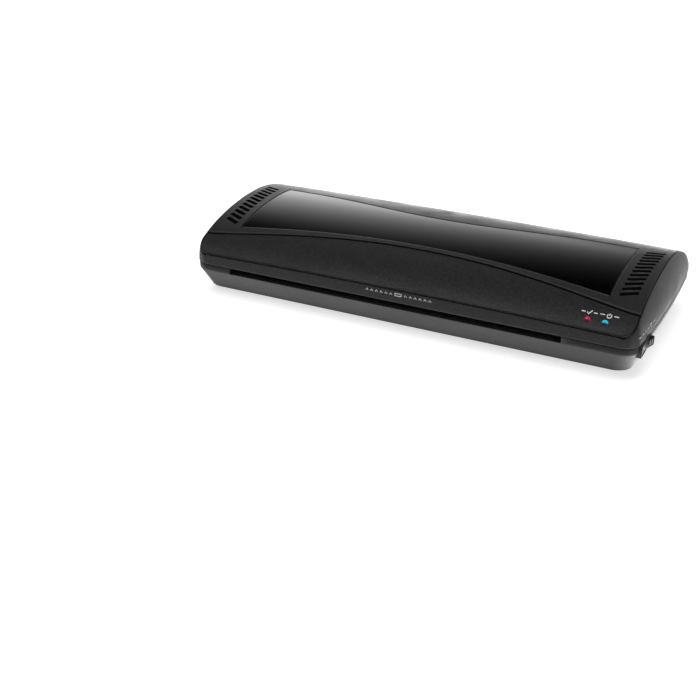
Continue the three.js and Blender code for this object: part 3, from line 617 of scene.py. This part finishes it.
def top_cover(materials):
    step = 0.05  # width in plan of the pocket's nearly upright walls
    edge = PANEL_HALF + POCKET_GAP
    outer = [edge + f for f in (0, 0.08, 0.18, 0.3)]
    columns = mirrored(steps(0, edge - step, 30) + outer + side_columns(edge + 0.8))
    grid = []
    for x in columns:
        arch = arch_y(x) + ARCH_REACH
        front = panel_front(x) - POCKET_REACH
        rear = panel_rear(x) + POCKET_REACH
        rows = [arch + f for f in (0, 0.06, 0.16, 0.32, 0.6, 1.0)]
        rows += steps(arch + 1.0, front - 0.4, 7)[1:]
        rows += [front - 0.2, front - 0.08, front, front + step]
        rows += steps(front + step, rear - step, 22)[1:]
        rows += [rear, rear + 0.08, rear + 0.2, rear + 0.4]
        rows += between(rear + 0.4, DEPTH - skin_front(x), 12)[len(FINE) - 1 :]
        grid.append([(x, y) for y in rows])

    def undercut(x, y):  # leans the wall behind the arched seam back, so that the seam is dark
        return max(1.6 - 0.6 * (y - arch_y(x) - ARCH_GROOVE), 0)

    def underside(x, y):
        return top_z(x, y) - COVER_THICK

    cover = grid_solid("top_cover_skin", grid, cover_top, underside, undercut)
    cut(cover, [vent_cutters()])
    finish_piece(cover, materials["casing"], replaces=["top_cover"])


def vent_cutters():
    """The vent slots, flared a little where they meet the surface."""
    verts = []
    faces = []
    for row in steps(*VENT_Y, 11):
        for side in (1, -1):
            loops = []
            for level, radius in ((-9, 2.4), (-3, 2.2), (-0.3, 1.55), (0.15, 1.75), (6, 2)):
                loops.append(vent_loop(row, side, radius, level))
            faces += loft_faces(len(loops), len(loops[0]), len(verts))
            verts += [point for loop in loops for point in loop]
    return make_object("vent_cutters", verts, faces)


def vent_loop(row, side, radius, level):
    """A slot's outline with squared round ends, at a level over the skin. Rear slots lie further out."""
    lean = ((row - VENT_Y[0]) / (VENT_Y[1] - VENT_Y[0])) ** 2
    inner = Vector((side * (136.4 + 0.9 * lean), row - 2.2))
    outer = Vector((side * (146.8 + 2.2 * lean), row + 2.2))
    along = (outer - inner).normalized()
    heading = math.atan2(along.y, along.x)
    loop = []
    for centre, turn in ((outer - along * 1.5, heading), (inner + along * 1.5, heading + math.pi)):
        for angle in steps(-math.pi / 2, math.pi / 2, 6):
            ahead = radius * math.cos(angle) ** 0.5
            aside = radius * math.copysign(abs(math.sin(angle)) ** 0.5, angle)
            x = centre.x + ahead * math.cos(turn) - aside * math.sin(turn)
            y = centre.y + ahead * math.sin(turn) + aside * math.cos(turn)
            loop.append((x, y, top_z(centre.x, y) + level))
    return loop


def fascia_top(x, y):
    arch = rounding(-line_distance(x, y, arch_y) - ARCH_GROOVE, 0.2)
    front = rounding(skin_edge(x, y), 0.5)
    return top_z(x, y, FASCIA_DROP) - max(arch, front)


def fascia_bottom(x, y):
    under = top_z(x, y, FASCIA_DROP) - WALL
    if y < 3:
        return min(max(under, lip_z(x) + 0.05), fascia_top(x, y) - 0.12)
    return under


def front_fascia(materials):
    columns = mirrored(steps(0, 130, 40)[:-1] + side_columns(130))
    grid = []
    for x in columns:
        rows = between(skin_front(x), arch_y(x) - ARCH_REACH, 16)
        grid.append([(x, y) for y in rows])
    fascia = grid_solid("front_fascia_skin", grid, fascia_top, fascia_bottom)
    bore = [(LED_RADIUS + grow, z) for grow, z in ((0.2, -6), (0.2, -0.2), (0.55, 0.2), (0.6, 5))]
    cut(fascia, [lathe("hole", bore, led_matrix(x)) for x in LED_X.values()])
    finish_piece(fascia, materials["fascia"], replaces=["front_fascia"])


def gloss_panel(materials):
    half = PANEL_HALF - PANEL_GAP
    columns = mirrored(steps(0, half - 2, 34) + [half - f for f in (1.2, 0.7, 0.4, 0.2, 0.08, 0)])

    def panel_edge(x, y):
        ahead = line_distance(x, y, panel_front)
        behind = -line_distance(x, y, panel_rear)
        return min(half - abs(x), ahead - PANEL_GAP, behind - PANEL_GAP)

    def panel_top(x, y):
        return top_z(x, y) - PANEL_DROP - rounding(panel_edge(x, y), 0.5)

    def panel_bottom(x, y):
        return top_z(x, y) - PANEL_DROP - 1.3

    grid = []
    for x in columns:
        rows = between(panel_front(x) + PANEL_GAP + 0.01, panel_rear(x) - PANEL_GAP - 0.01, 26)
        grid.append([(x, y) for y in rows])
    panel = grid_solid("gloss_panel_skin", grid, panel_top, panel_bottom)
    finish_piece(panel, materials["gloss"], replaces=["gloss_panel"])


# ---- upper frame: cheeks and lips --------------------------------------------------------------


def plan_stations():
    """Points round the body at its widest, counter-clockwise from the front's middle."""
    turn = steps(0, math.pi / 2, 12)
    side = [FRONT_CORNER * (1 - math.cos(angle)) for angle in turn[1:]]
    side += steps(FRONT_CORNER, DEPTH - REAR_CORNER, 30)[1:]
    side += [DEPTH - REAR_CORNER * (1 - math.cos(angle)) for angle in reversed(turn[:-1])]
    right = [(x, 0) for x in steps(0, half_width(0), 24)]
    right += [(half_width(y), y) for y in side]
    right += [(x, DEPTH) for x in steps(half_width(DEPTH), 0, 24)[1:]]
    left = [(-x, y) for x, y in reversed(right[1:-1])]
    return right + left


def cheek_point(x, y, z):
    """The body's surface at a height, over a plan station."""
    rise = cover_height(SEAM_X, y)
    share = min((z - SEAM_Z) / rise, 1)
    shrink = ROLL_SHARE * rise * (1 - math.sqrt(1 - (share * RIDGE) ** 2)) / CHEEK_ARC
    half = half_width(y)
    return Vector((x * (half - shrink) / half, y, z))


def frame_edge(x, y):
    """Where the frame's surface ends at the seam, over a plan station."""
    radius = SKIN_CORNER + GROOVE
    low = 0.06
    along = min(y, DEPTH - y)
    if along <= low:
        return cheek_point(x, y, lip_z(x) - 0.5)
    across = SEAM_X + GROOVE
    if along - low < radius:
        across -= radius - math.sqrt(max(radius**2 - (radius - along + low) ** 2, 0))
    return Vector((math.copysign(across, x), y, top_z(across, y)))


def frame_profile(x, y):
    """One section of the frame's ring, from the parting line up to the seam and down inside."""
    bottom = SEAM_Z + 0.12
    edge = frame_edge(x, y)
    centre = Vector((max(min(x, 140), -140), max(min(y, DEPTH - 20), 20)))
    inward = (centre - Vector((x, y))).normalized().to_3d()
    foot = Vector((x, y, bottom))
    up = Vector((0, 0, 1))
    side = min(min(y, DEPTH - y) / 9, 1)  # 0 on the front and rear lips, 1 along the cheeks
    land = edge + inward * (0.15 + 1.85 * (1 - side)) - up * 0.5
    points = [foot + inward * 0.3, foot + inward * 0.08 + up * 0.12]
    points += [cheek_point(x, y, z) for z in steps(bottom + 0.35, edge.z - 0.35, 12)]
    points += [edge + inward * 0.06 - up * 0.12, edge + inward * 0.12 - up * 0.4]
    points += [land, land - up * (2 + 2 * side), foot + inward * WALL]
    return [tuple(p) for p in points]


def upper_frame(materials):
    loops = [frame_profile(x, y) for x, y in plan_stations()]
    ring = loft("upper_frame_shell", loops, closed=True)
    finish_piece(ring, materials["casing"], replaces=["upper_frame"], degrees=50)


# ---- lower casing ------------------------------------------------------------------------------


def base_loop(z, side_inset, end_inset):
    side = side_inset + REVEAL
    end = end_inset + REVEAL
    loop = []
    for x, y in plan_stations():
        half = half_width(y)
        loop.append((x * (half - side) / half, end + y * (DEPTH - 2 * end) / DEPTH, z))
    return loop


def lower_casing(materials):
    low = FOOT_HEIGHT
    edge = 1.2
    loops = []
    for angle in steps(0, math.pi / 2, 4):
        inset = edge * (1 - math.sin(angle))
        loops.append(base_loop(low + edge * (1 - math.cos(angle)), BASE_SIDE + inset, BASE_END + inset))
    for share in (0.25, 0.5, 0.75, 0.94, 0.98):
        z = low + edge + (BAND_Z - low - edge) * share
        loops.append(base_loop(z, BASE_SIDE * (1 - share), BASE_END * (1 - share)))
    for z, inset in (
        (BAND_Z + 0.25, 0), (BAND_Z + 0.8, 0), (SEAM_Z - 0.7, 0), (SEAM_Z - 0.45, 0.1), (SEAM_Z - 0.35, 0.4)
    ):
        loops.append(base_loop(z, inset, inset))
    body = loft("lower_casing_shell", loops)
    cut(body, [loft("cavity", [
        base_loop(low + WALL, BASE_SIDE + WALL, BASE_END + WALL),
        base_loop(BAND_Z, WALL, WALL),
        base_loop(SEAM_Z + 1, WALL, WALL),
    ])])
    cutters = [
        box_object("feed_slot", (THROAT[0], -2, SLOT_Z), (THROAT[1], 6, SEAM_Z + 2)),
        box_object("exit_slot", (THROAT[0], DEPTH - 6, SLOT_Z), (THROAT[1], DEPTH + 2, SEAM_Z + 2)),
        box_object("switch_hole", (140, SWITCH_Y[0], SWITCH_Z[0]), (170, SWITCH_Y[1], SWITCH_Z[1])),
        lathe("cord_hole", [(4.9, -10), (4.9, 20)], rearward(CORD_X, DEPTH - 6, CORD_Z)),
    ]
    for x, y in CASE_SCREWS:
        cutters.append(lathe("screw_well", [(3.9, -2), (3.9, 12)], standing(x, y), 24))
    for x, y in FEET:
        cutters.append(lathe("foot_recess", [(7.2, -2), (7.2, low + 0.8)], standing(x, y)))
    for x in steps(-80, 64, 9):
        outline = slot_outline(x, 50, 92, 1.5)
        cutters.append(loft("floor_vent", [[(x, y, z) for x, y in outline] for z in (0, low + WALL + 1)]))
    cut(body, cutters)
    finish_piece(body, materials["casing"], replaces=["lower_casing"])


def slot_outline(x, y0, y1, radius):
    outline = []
    for centre, turn in ((y1 - radius, math.pi / 2), (y0 + radius, -math.pi / 2)):
        for angle in steps(turn - math.pi / 2, turn + math.pi / 2, 6):
            outline.append((x + radius * math.cos(angle), centre + radius * math.sin(angle)))
    return outline


def rearward(x, y, z):
    return frame_at(x, y, z, (0, 1, 0))


def standing(x, y):
    return Matrix.Translation((x, y, 0))


def screw_bosses(materials):
    """Sleeves round the wells, so that the heads sit in a closed recess."""
    section = [(1.9, 6.5), (3.85, 6.5), (3.85, SEAM_Z - 0.8), (1.9, SEAM_Z - 0.8)]
    for number, (x, y) in enumerate(CASE_SCREWS, 1):
        loops = [[(x + r * c, y + r * s, z) for r, z in section] for c, s in circle(1, 24)]
        boss = loft(f"screw_boss_{number}", loops, closed=True)
        finish_piece(boss, materials["casing"])


# ---- indicator lights --------------------------------------------------------------------------


def led_matrix(x):
    return frame_at(x, LED_Y, top_z(x, LED_Y, FASCIA_DROP), normal_at(x, LED_Y, FASCIA_DROP))


def indicator_lights(materials):
    flange = LED_RADIUS + 0.6
    pairs = [(flange, -6.6), (flange, -5.6), (LED_RADIUS, -5.6)]
    pairs += [(LED_RADIUS * math.cos(a), -0.4 + 1.2 * math.sin(a)) for a in steps(0, math.pi / 2, 8)[:-1]]
    pairs += [(0.12, 0.8)]
    for name, x in LED_X.items():
        light = lathe(f"{name}_light_lens", pairs, led_matrix(x))
        finish_piece(light, materials[name], replaces=[f"{name}_light"])


# ---- rocker switch -----------------------------------------------------------------------------

ROCKER_HALF = 10.4
ROCKER_THICK = 3  # half of its height
ROCKER_TILT = math.radians(8)


def switch_housing(materials):
    clear = 0.25
    low = (134, SWITCH_Y[0] + clear, SWITCH_Z[0] + clear)
    high = (157.5, SWITCH_Y[1] - clear, SWITCH_Z[1] - clear)
    housing = box_object("switch_housing_shell", low, high)
    round_edges(housing, 0.5)
    y, z = ROCKER[1:]
    half = ROCKER_HALF + 0.5
    deep = ROCKER_THICK + 0.25
    cut(housing, [box_object("well", (147, y - half, z - deep), (165, y + half, z + deep))])
    finish_piece(housing, materials["switch"], replaces=["switch_housing"])


def rocker_matrix():
    return Matrix.Translation(ROCKER) @ Matrix.Rotation(-ROCKER_TILT, 4, "Z")


def rocker_face(along):
    """Height of the paddle's dished face at a distance from its pivot."""
    share = min(abs(along) / (ROCKER_HALF - 0.8), 1)
    return 3.9 + 1.3 * share**1.35


def rocker(materials):
    end = ROCKER_HALF
    top = ROCKER_THICK
    outline = [(-4, -2.4), (-4, 2.4), (0.4, end), (4.4, end)]
    outline += [(rocker_face(y), y) for y in steps(end - 0.5, 0.5 - end, 28)]
    outline += [(4.4, -end), (0.4, -end)]
    lower = [(-top, 0.35), (0.1 - top, 0.12), (0.35 - top, 0)]  # height, and how far it is rounded in
    loops = []
    for z, inset in lower + [(-z, inset) for z, inset in reversed(lower)]:
        ring = [(x - inset if x > 1 else x, y * (1 - inset / 12), z) for x, y in outline]
        loops.append([tuple(rocker_matrix() @ Vector(point)) for point in ring])
    paddle = loft("power_rocker_paddle", loops)
    finish_piece(paddle, materials["switch"], body="rocker", replaces=["power_rocker"])


# ---- printed marks -----------------------------------------------------------------------------

INK_SUNK = -0.04  # the ink starts this far under the surface, so that no gap shows
INK_PROUD = 0.05


def ribbon(points, width):
    """Left and right edges of a stroke through plan points, for a printed line."""
    edges = []
    for i, point in enumerate(points):
        ahead = Vector(points[min(i + 1, len(points) - 1)]) - Vector(points[max(i - 1, 0)])
        ahead.normalize()
        side = Vector((-ahead.y, ahead.x)) * (width / 2)
        edges.append((Vector(point) + side, Vector(point) - side))
    return edges


def printed(name, strokes, width, surface, material, body="casing"):
    """Printed strokes laid on a surface: surface(u, v, lift) gives the point over a plan position."""
    verts = []
    faces = []
    for stroke in strokes:
        edges = ribbon(stroke, width)
        faces += loft_faces(len(edges), 4, len(verts))
        for left, right in edges:
            for (u, v), lift in ((left, INK_SUNK), (left, INK_PROUD), (right, INK_PROUD), (right, INK_SUNK)):
                verts.append(tuple(surface(u, v, lift)))
    finish_piece(make_object(name, verts, faces), material, body)


def arc(cx, cy, radius, start, end, count=16):
    angles = steps(math.radians(start), math.radians(end), count)
    return [(cx + radius * math.cos(a), cy + radius * math.sin(a)) for a in angles]


def line(x0, y0, x1, y1, count=4):
    return list(zip(steps(x0, x1, count), steps(y0, y1, count)))


def on_skin(drop, centre_x, centre_y):
    def surface(u, v, lift):
        x = centre_x + u
        y = centre_y + v
        return Vector((x, y, top_z(x, y, drop))) + normal_at(x, y, drop) * lift

    return surface


def on_lip(centre_x, centre_z):
    def surface(u, v, lift):
        return (centre_x + u, -lift, centre_z + v)

    return surface


def on_cheek(centre_y, centre_z):
    """Marks on the right cheek: u runs rearward, v runs up the cheek."""

    def surface(u, v, lift):
        y = centre_y + u
        z = centre_z + v
        step = 0.2
        point = cheek_point(half_width(y), y, z)
        up = (cheek_point(half_width(y), y, z + step) - point).normalized()
        behind = cheek_point(half_width(y + step), y + step, z)
        return point + (behind - point).cross(up).normalized() * lift

    return surface


def power_symbol(v, size):
    return [arc(0, v, size, -235, 55, 20), line(0, v + 0.1 * size, 0, v + 1.25 * size, 2)]


def tick_symbol(size):
    return [[(-size, 0), (-0.3 * size, -0.8 * size), (size, 0.9 * size)]]


def side_bars(start, end):
    """A short bar on each side of a symbol."""
    return [line(side * start, 0, side * end, 0) for side in (-1, 1)]


def sheet_symbol(width, height):
    u, v = width / 2, height / 2
    return [line(-u, -v, u, -v), line(u, -v, u, v), line(u, v, -u, v), line(-u, v, -u, -v)]


def marks(materials):
    white = materials["ink"]
    ready = tick_symbol(1.5) + side_bars(2.6, 4.9)
    power = power_symbol(-0.3, 1.35) + side_bars(2.8, 5.8)
    label_y = LED_Y + 4.4
    printed("mark_ready", ready, 0.7, on_skin(FASCIA_DROP, LED_X["ready"], label_y), white)
    printed("mark_power", power, 0.6, on_skin(FASCIA_DROP, LED_X["power"] + 1.4, label_y + 0.3), white)
    feed = sheet_symbol(4.4, 1.7)
    for side in (-1, 1):
        for x in (side * (5.2 + 3.4 * i) for i in range(6)):
            feed.append([(x - 0.85, -0.7), (x, 0.7), (x + 0.85, -0.7)])
    printed("mark_feed_direction", feed, 0.42, on_lip(1, 28.6), white)
    emblem = sheet_symbol(6.5, 4.2) + [line(-5, -3.4, 5, -3.4), line(-5, 3.4, 5, 3.4)]
    printed("mark_cover", emblem, 0.4, on_skin(0, -8.5, 102.5), materials["faint_ink"])
    cheek = [line(start, 0, end, 0) for start, end in ((-13, -9.5), (-7, -4.5), (2.5, 6), (13, 18))]
    cheek += [line(-1, -1.1, -1, 1.1), arc(9.5, 0, 1.1, 0, 360)]
    printed("mark_switch", cheek, 0.6, on_cheek(20, 28.4), white)


def rocker_marks(materials):
    matrix = rocker_matrix()

    def surface(u, v, lift):
        return matrix @ Vector((rocker_face(u) + lift, u, v))

    strokes = [line(u, -1.6, u, 1.6) for u in (5.2, 7.6)] + [arc(-6.4, 0, 1.5, 0, 360, 24)]
    printed("mark_rocker", strokes, 0.55, surface, materials["ink"], body="rocker")


# ---- feet, screws and cord ---------------------------------------------------------------------


def rubber_feet(materials):
    pairs = [(2.0, 0.5), (2.3, 0), (3.6, 0), (3.8, 0.3), (4.3, 0.3), (4.5, 0), (6.1, 0)]
    pairs += [(6.1 + 0.8 * math.sin(a), 0.8 - 0.8 * math.cos(a)) for a in steps(0, math.pi / 2, 5)[1:]]
    pairs += [(7.0, FOOT_HEIGHT + 0.7)]
    for number, (x, y) in enumerate(FEET, 1):
        foot = lathe(f"rubber_foot_{number}_pad", pairs, standing(x, y))
        finish_piece(foot, materials["rubber"], replaces=[f"rubber_foot_{number}"])


def screws(materials):
    seat = 6.3
    head = [(2.0, seat - 2.1), (2.7, seat - 1.8), (3.1, seat - 1.2), (3.2, seat)]
    for number, (x, y) in enumerate(CASE_SCREWS, 1):
        screw = lathe(f"case_screw_{number}_steel", head + [(1.5, seat), (1.4, 27)], standing(x, y), 32)
        cross = []
        for long_x, long_y in ((1.7, 0.35), (0.35, 1.7)):
            low = (x - long_x, y - long_y, seat - 3)
            cross.append(box_object("cross", low, (x + long_x, y + long_y, seat - 1.1)))
        cut(screw, cross)
        finish_piece(screw, materials["steel"], replaces=[f"case_screw_{number}"])


def curve_through(points, count):
    """Points along a smooth curve through the given ones."""
    path = [Vector(p) for p in points]
    ends = [2 * path[0] - path[1]] + path + [2 * path[-1] - path[-2]]
    out = []
    for i in range(1, len(ends) - 2):
        before, start, end, after = ends[i - 1 : i + 3]
        for t in steps(0, 1, count)[:-1]:
            bend = 2 * start + (end - before) * t
            bend += (2 * before - 5 * start + 4 * end - after) * t**2
            bend += (3 * start - before - 3 * end + after) * t**3
            out.append(bend / 2)
    return out + [path[-1]]


def cord_path():
    near, far = CORD_RUNS
    path = [Vector((CORD_X, DEPTH - 13, CORD_Z)), Vector((CORD_X, DEPTH + 2, CORD_Z))]
    drop = [(CORD_X, DEPTH + 7, CORD_Z), (CORD_X - 1.5, DEPTH + 12, CORD_Z - 1.6)]
    drop += [(CORD_X - 8, near - 0.4, CORD_Z - 5), (CORD_X - 20, near, CORD_LIE)]
    path += curve_through(drop, 8)
    for centre_x, centre_y, side in ((-30, near + 4, -1), (84, far - 4, 1)):
        for a in steps(-math.pi / 2, math.pi / 2, 14):
            path.append(Vector((centre_x + side * 4 * math.cos(a), centre_y + 4 * math.sin(a), CORD_LIE)))
    path += curve_through([(-30, far, CORD_LIE), (-46, PLUG_Y, PLUG_Z), (-58, PLUG_Y, PLUG_Z)], 8)
    path.append(Vector((-64, PLUG_Y, PLUG_Z)))
    return path


def mains_cord(materials):
    cord = tube("mains_cord_sheath", cord_path(), 2.9)
    finish_piece(cord, materials["cord"], replaces=["mains_cord"])
    pairs = [(6.2, -12), (6.4, -11.8), (6.4, -10.2), (4.7, -10), (4.7, 1.4)]
    for start in (1.6, 3.0, 4.4):
        rib = 4.6 - start * 0.08
        pairs += [(rib, start), (rib, start + 0.8), (3.7, start + 0.9), (3.7, start + 1.3)]
    pairs += [(3.9, 5.9), (3.5, 6.2)]
    place_at = rearward(CORD_X, DEPTH - 1, CORD_Z)
    relief = lathe("strain_relief_sleeve", pairs, place_at)
    cut(relief, [lathe("bore", [(3.0, -20), (3.0, 20)], place_at, 24)])
    finish_piece(relief, materials["rubber"], replaces=["strain_relief"])


def cord_tie(materials):
    middle_y = sum(CORD_RUNS) / 2
    section = [(24, 0.1), (24, 0.5), (24.4, 0.6), (29.6, 0.6), (30, 0.5), (30, 0.1), (27, 0)]  # x, thickness
    loops = []
    for y, z in squared_circle(0.12, 0.35, 64):
        loops.append([(x, middle_y + (11.9 + t) * y, CORD_LIE + (3 + t) * z) for x, t in section])
    tie = loft("cord_tie_band", loops, closed=True)
    finish_piece(tie, materials["rubber"], replaces=["cord_tie"])


def plug(materials):
    stations = [  # x, half of its depth, half of its height
        (-63, 4.2, 4.2), (-64, 4.4, 4.4), (-66.5, 4.6, 4.5), (-68, 5.2, 4.8), (-73, 7.6, 5.6),
        (-78, 10.6, 6.3), (-83, 12.3, 6.7), (-88, 12.6, 6.75), (-95.5, 12.6, 6.75), (-97.4, 12.2, 6.4),
        (-98, 11.2, 5.4),
    ]
    loops = []
    for x, deep, high in stations:
        power = 0.55 if x < -75 else 0.8
        loops.append([(x, PLUG_Y + deep * y, PLUG_Z + high * z) for y, z in squared_circle(power, power, 48)])
    body = loft("plug_body_moulding", loops)
    finish_piece(body, materials["rubber"], replaces=["plug_body"], degrees=50)
    for name, side in (("near", -1), ("far", 1)):
        matrix = Matrix.Translation((0, PLUG_Y + side * 9.2, PLUG_Z)) @ Matrix.Rotation(math.pi / 2, 4, "Y")
        pairs = [(2.0, -98), (2.0, -114.8), (1.8, -115.6), (1.3, -116)]
        pin = lathe(f"plug_pin_{name}_metal", pairs, matrix, 28)
        finish_piece(pin, materials["pin"], replaces=[f"plug_pin_{name}"])
        sleeve = lathe(f"plug_pin_{name}_sleeve", [(2.35, -97.9), (2.35, -106.6), (2.05, -107)], matrix, 28)
        finish_piece(sleeve, materials["rubber"])


# ---- CAD pieces that stay ----------------------------------------------------------------------


def finish_cad_nodes(materials):
    finish_of = {"black_abs": "casing", "circuit_board": "board"}
    for row in frame["record"]["subparts"]:
        thing = frame["nodes"][row["node"]]
        if thing.hide_render:
            continue
        slot = row["material_slot"]
        thing.data.materials.clear()
        thing.data.materials.append(materials[finish_of.get(slot, slot)])


# ---- stage, light and camera -------------------------------------------------------------------


def reflected_floor(nodes):
    """What the plastics reflect of the floor: bright beside and behind the machine, dim out in front."""
    tree = nodes.tree
    across = nodes.axes()["X"]
    along = nodes.axes()["Y"]
    in_front = nodes.times(
        nodes.spread(along, 0.26, 1.45, -0.13, -0.112), nodes.spread(along, 1, 0.45, -0.095, -0.08)
    )
    beside = nodes.times(
        nodes.spread(across, 0, 2.3, 0.14, 0.156), nodes.spread(across, 1, 0, 0.167, 0.176)
    )
    beside = nodes.times(beside, nodes.spread(along, 0.1, 1, -0.1, -0.075))
    behind = nodes.times(nodes.spread(along, 0, 3.6, 0.06, 0.1), nodes.spread(across, 1, 0, 0.13, 0.16))
    strength = math_node(tree, "ADD", in_front, math_node(tree, "ADD", beside, behind))
    seen = tree.nodes.new("ShaderNodeEmission")
    tree.links.new(strength, seen.inputs["Strength"])
    mix_by_ray(tree, "Is Glossy Ray", nodes.shader.outputs["BSDF"], seen.outputs["Emission"])


def mix_by_ray(tree, kind, others, chosen):
    """Makes one kind of ray see the chosen shader, and all the others the other one."""
    ray = tree.nodes.new("ShaderNodeLightPath")
    mix = tree.nodes.new("ShaderNodeMixShader")
    tree.links.new(ray.outputs[kind], mix.inputs["Fac"])
    tree.links.new(others, mix.inputs[1])
    tree.links.new(chosen, mix.inputs[2])
    out = next(node for node in tree.nodes if node.name.endswith("Output"))
    tree.links.new(mix.outputs["Shader"], out.inputs["Surface"])


def make_floor():
    mesh = bpy.data.meshes.new("studio_floor")
    reach = 6
    corners = [(-reach, -reach, 0), (reach, -reach, 0), (reach, reach, 0), (-reach, reach, 0)]
    mesh.from_pydata(corners, [], [(0, 1, 2, 3)])
    floor = bpy.data.objects.new("studio_floor", mesh)
    bpy.context.scene.collection.objects.link(floor)
    nodes = Nodes("floor_paper")
    distance = nodes.tree.nodes.new("ShaderNodeVectorMath")
    distance.operation = "LENGTH"
    nodes.tree.links.new(nodes.where, distance.inputs[0])
    nodes.set(
        Base_Color=(0.78, 0.78, 0.78, 1),
        Roughness=0.7,
        Specular_IOR_Level=0.2,
        Emission_Color=(1, 1, 1, 1),
        Emission_Strength=nodes.spread(distance.outputs["Value"], 0.66, 1.0, 0.4, 2),
    )
    reflected_floor(nodes)
    mesh.materials.append(nodes.material)


def area_light(name, position, target, size, power):
    """A soft light that only lights: neither the camera nor any reflection sees it."""
    data = bpy.data.lights.new(name, "AREA")
    data.shape = "RECTANGLE"
    data.size, data.size_y = size
    data.energy = power
    lamp = bpy.data.objects.new(name, data)
    lamp.location = position
    lamp.rotation_euler = (Vector(target) - Vector(position)).to_track_quat("-Z", "Y").to_euler()
    lamp.visible_glossy = False
    lamp.visible_camera = False
    bpy.context.scene.collection.objects.link(lamp)


def direction(azimuth, elevation):
    """Unit vector; azimuth is measured from straight behind the machine towards its right."""
    a, e = math.radians(azimuth), math.radians(elevation)
    return Vector((math.sin(a) * math.cos(e), math.cos(a) * math.cos(e), math.sin(e)))


def glow(tree, where, aim, tightness, power):
    """A soft bright patch of the surroundings, strongest along one direction."""
    facing = tree.nodes.new("ShaderNodeVectorMath")
    facing.operation = "DOT_PRODUCT"
    facing.inputs[1].default_value = aim
    tree.links.new(where, facing.inputs[0])
    value = math_node(tree, "MAXIMUM", facing.outputs["Value"], 0)
    value = math_node(tree, "POWER", value, tightness)
    return math_node(tree, "MULTIPLY", value, power)


def make_world():
    """White surroundings for the camera; reflections see a dark room with soft patches of light."""
    world = bpy.data.worlds.new("studio")
    bpy.context.scene.world = world
    world.use_nodes = True
    tree = world.node_tree
    tree.nodes.clear()
    tree.nodes.new("ShaderNodeOutputWorld")
    where = tree.nodes.new("ShaderNodeTexCoord").outputs["Generated"]
    total = 0
    for patch in GLOWS:
        total = math_node(tree, "ADD", total, glow(tree, where, *patch))
    seen = tree.nodes.new("ShaderNodeBackground")
    seen.inputs["Color"].default_value = (1, 1, 1, 1)
    lit = tree.nodes.new("ShaderNodeBackground")
    tree.links.new(total, lit.inputs["Strength"])
    mix_by_ray(tree, "Is Camera Ray", lit.outputs["Background"], seen.outputs["Background"])


def make_camera():
    data = bpy.data.cameras.new("photo_view")
    data.sensor_width = 36
    data.lens = 59.14
    camera = bpy.data.objects.new("photo_view", data)
    camera.location = (0.2759, -0.7089, 0.3332)
    camera.rotation_euler = (-direction(153.38, 27.02)).to_track_quat("-Z", "Y").to_euler()
    bpy.context.scene.collection.objects.link(camera)
    bpy.context.scene.camera = camera


GLOWS = [  # direction, tightness, power
    (direction(-38, 6), 24, 2.1),
    (direction(-34, 23), 30, 0.58),
    (direction(-20, 14), 60, 0.7),
    (direction(30, 4), 9, 1.1),
    (direction(-150, 60), 60, 7.0),
]


def make_studio():
    bpy.context.scene.view_settings.view_transform = "Standard"
    make_floor()
    make_world()
    make_camera()
    area_light("overhead", (-0.05, 0.1, 1.6), (0, 0, 0), (1.8, 1.8), 24)
    area_light("front_fill", (0.5, -1.5, 0.9), (0, 0, 0.03), (1.4, 1.0), 2.5)


# ---- assembly ----------------------------------------------------------------------------------

materials = make_materials()
for build in (
    top_cover, front_fascia, gloss_panel, upper_frame, lower_casing, screw_bosses, indicator_lights,
    switch_housing, rocker, marks, rocker_marks, rubber_feet, screws, mains_cord, cord_tie, plug,
    finish_cad_nodes,
):
    build(materials)
make_studio()
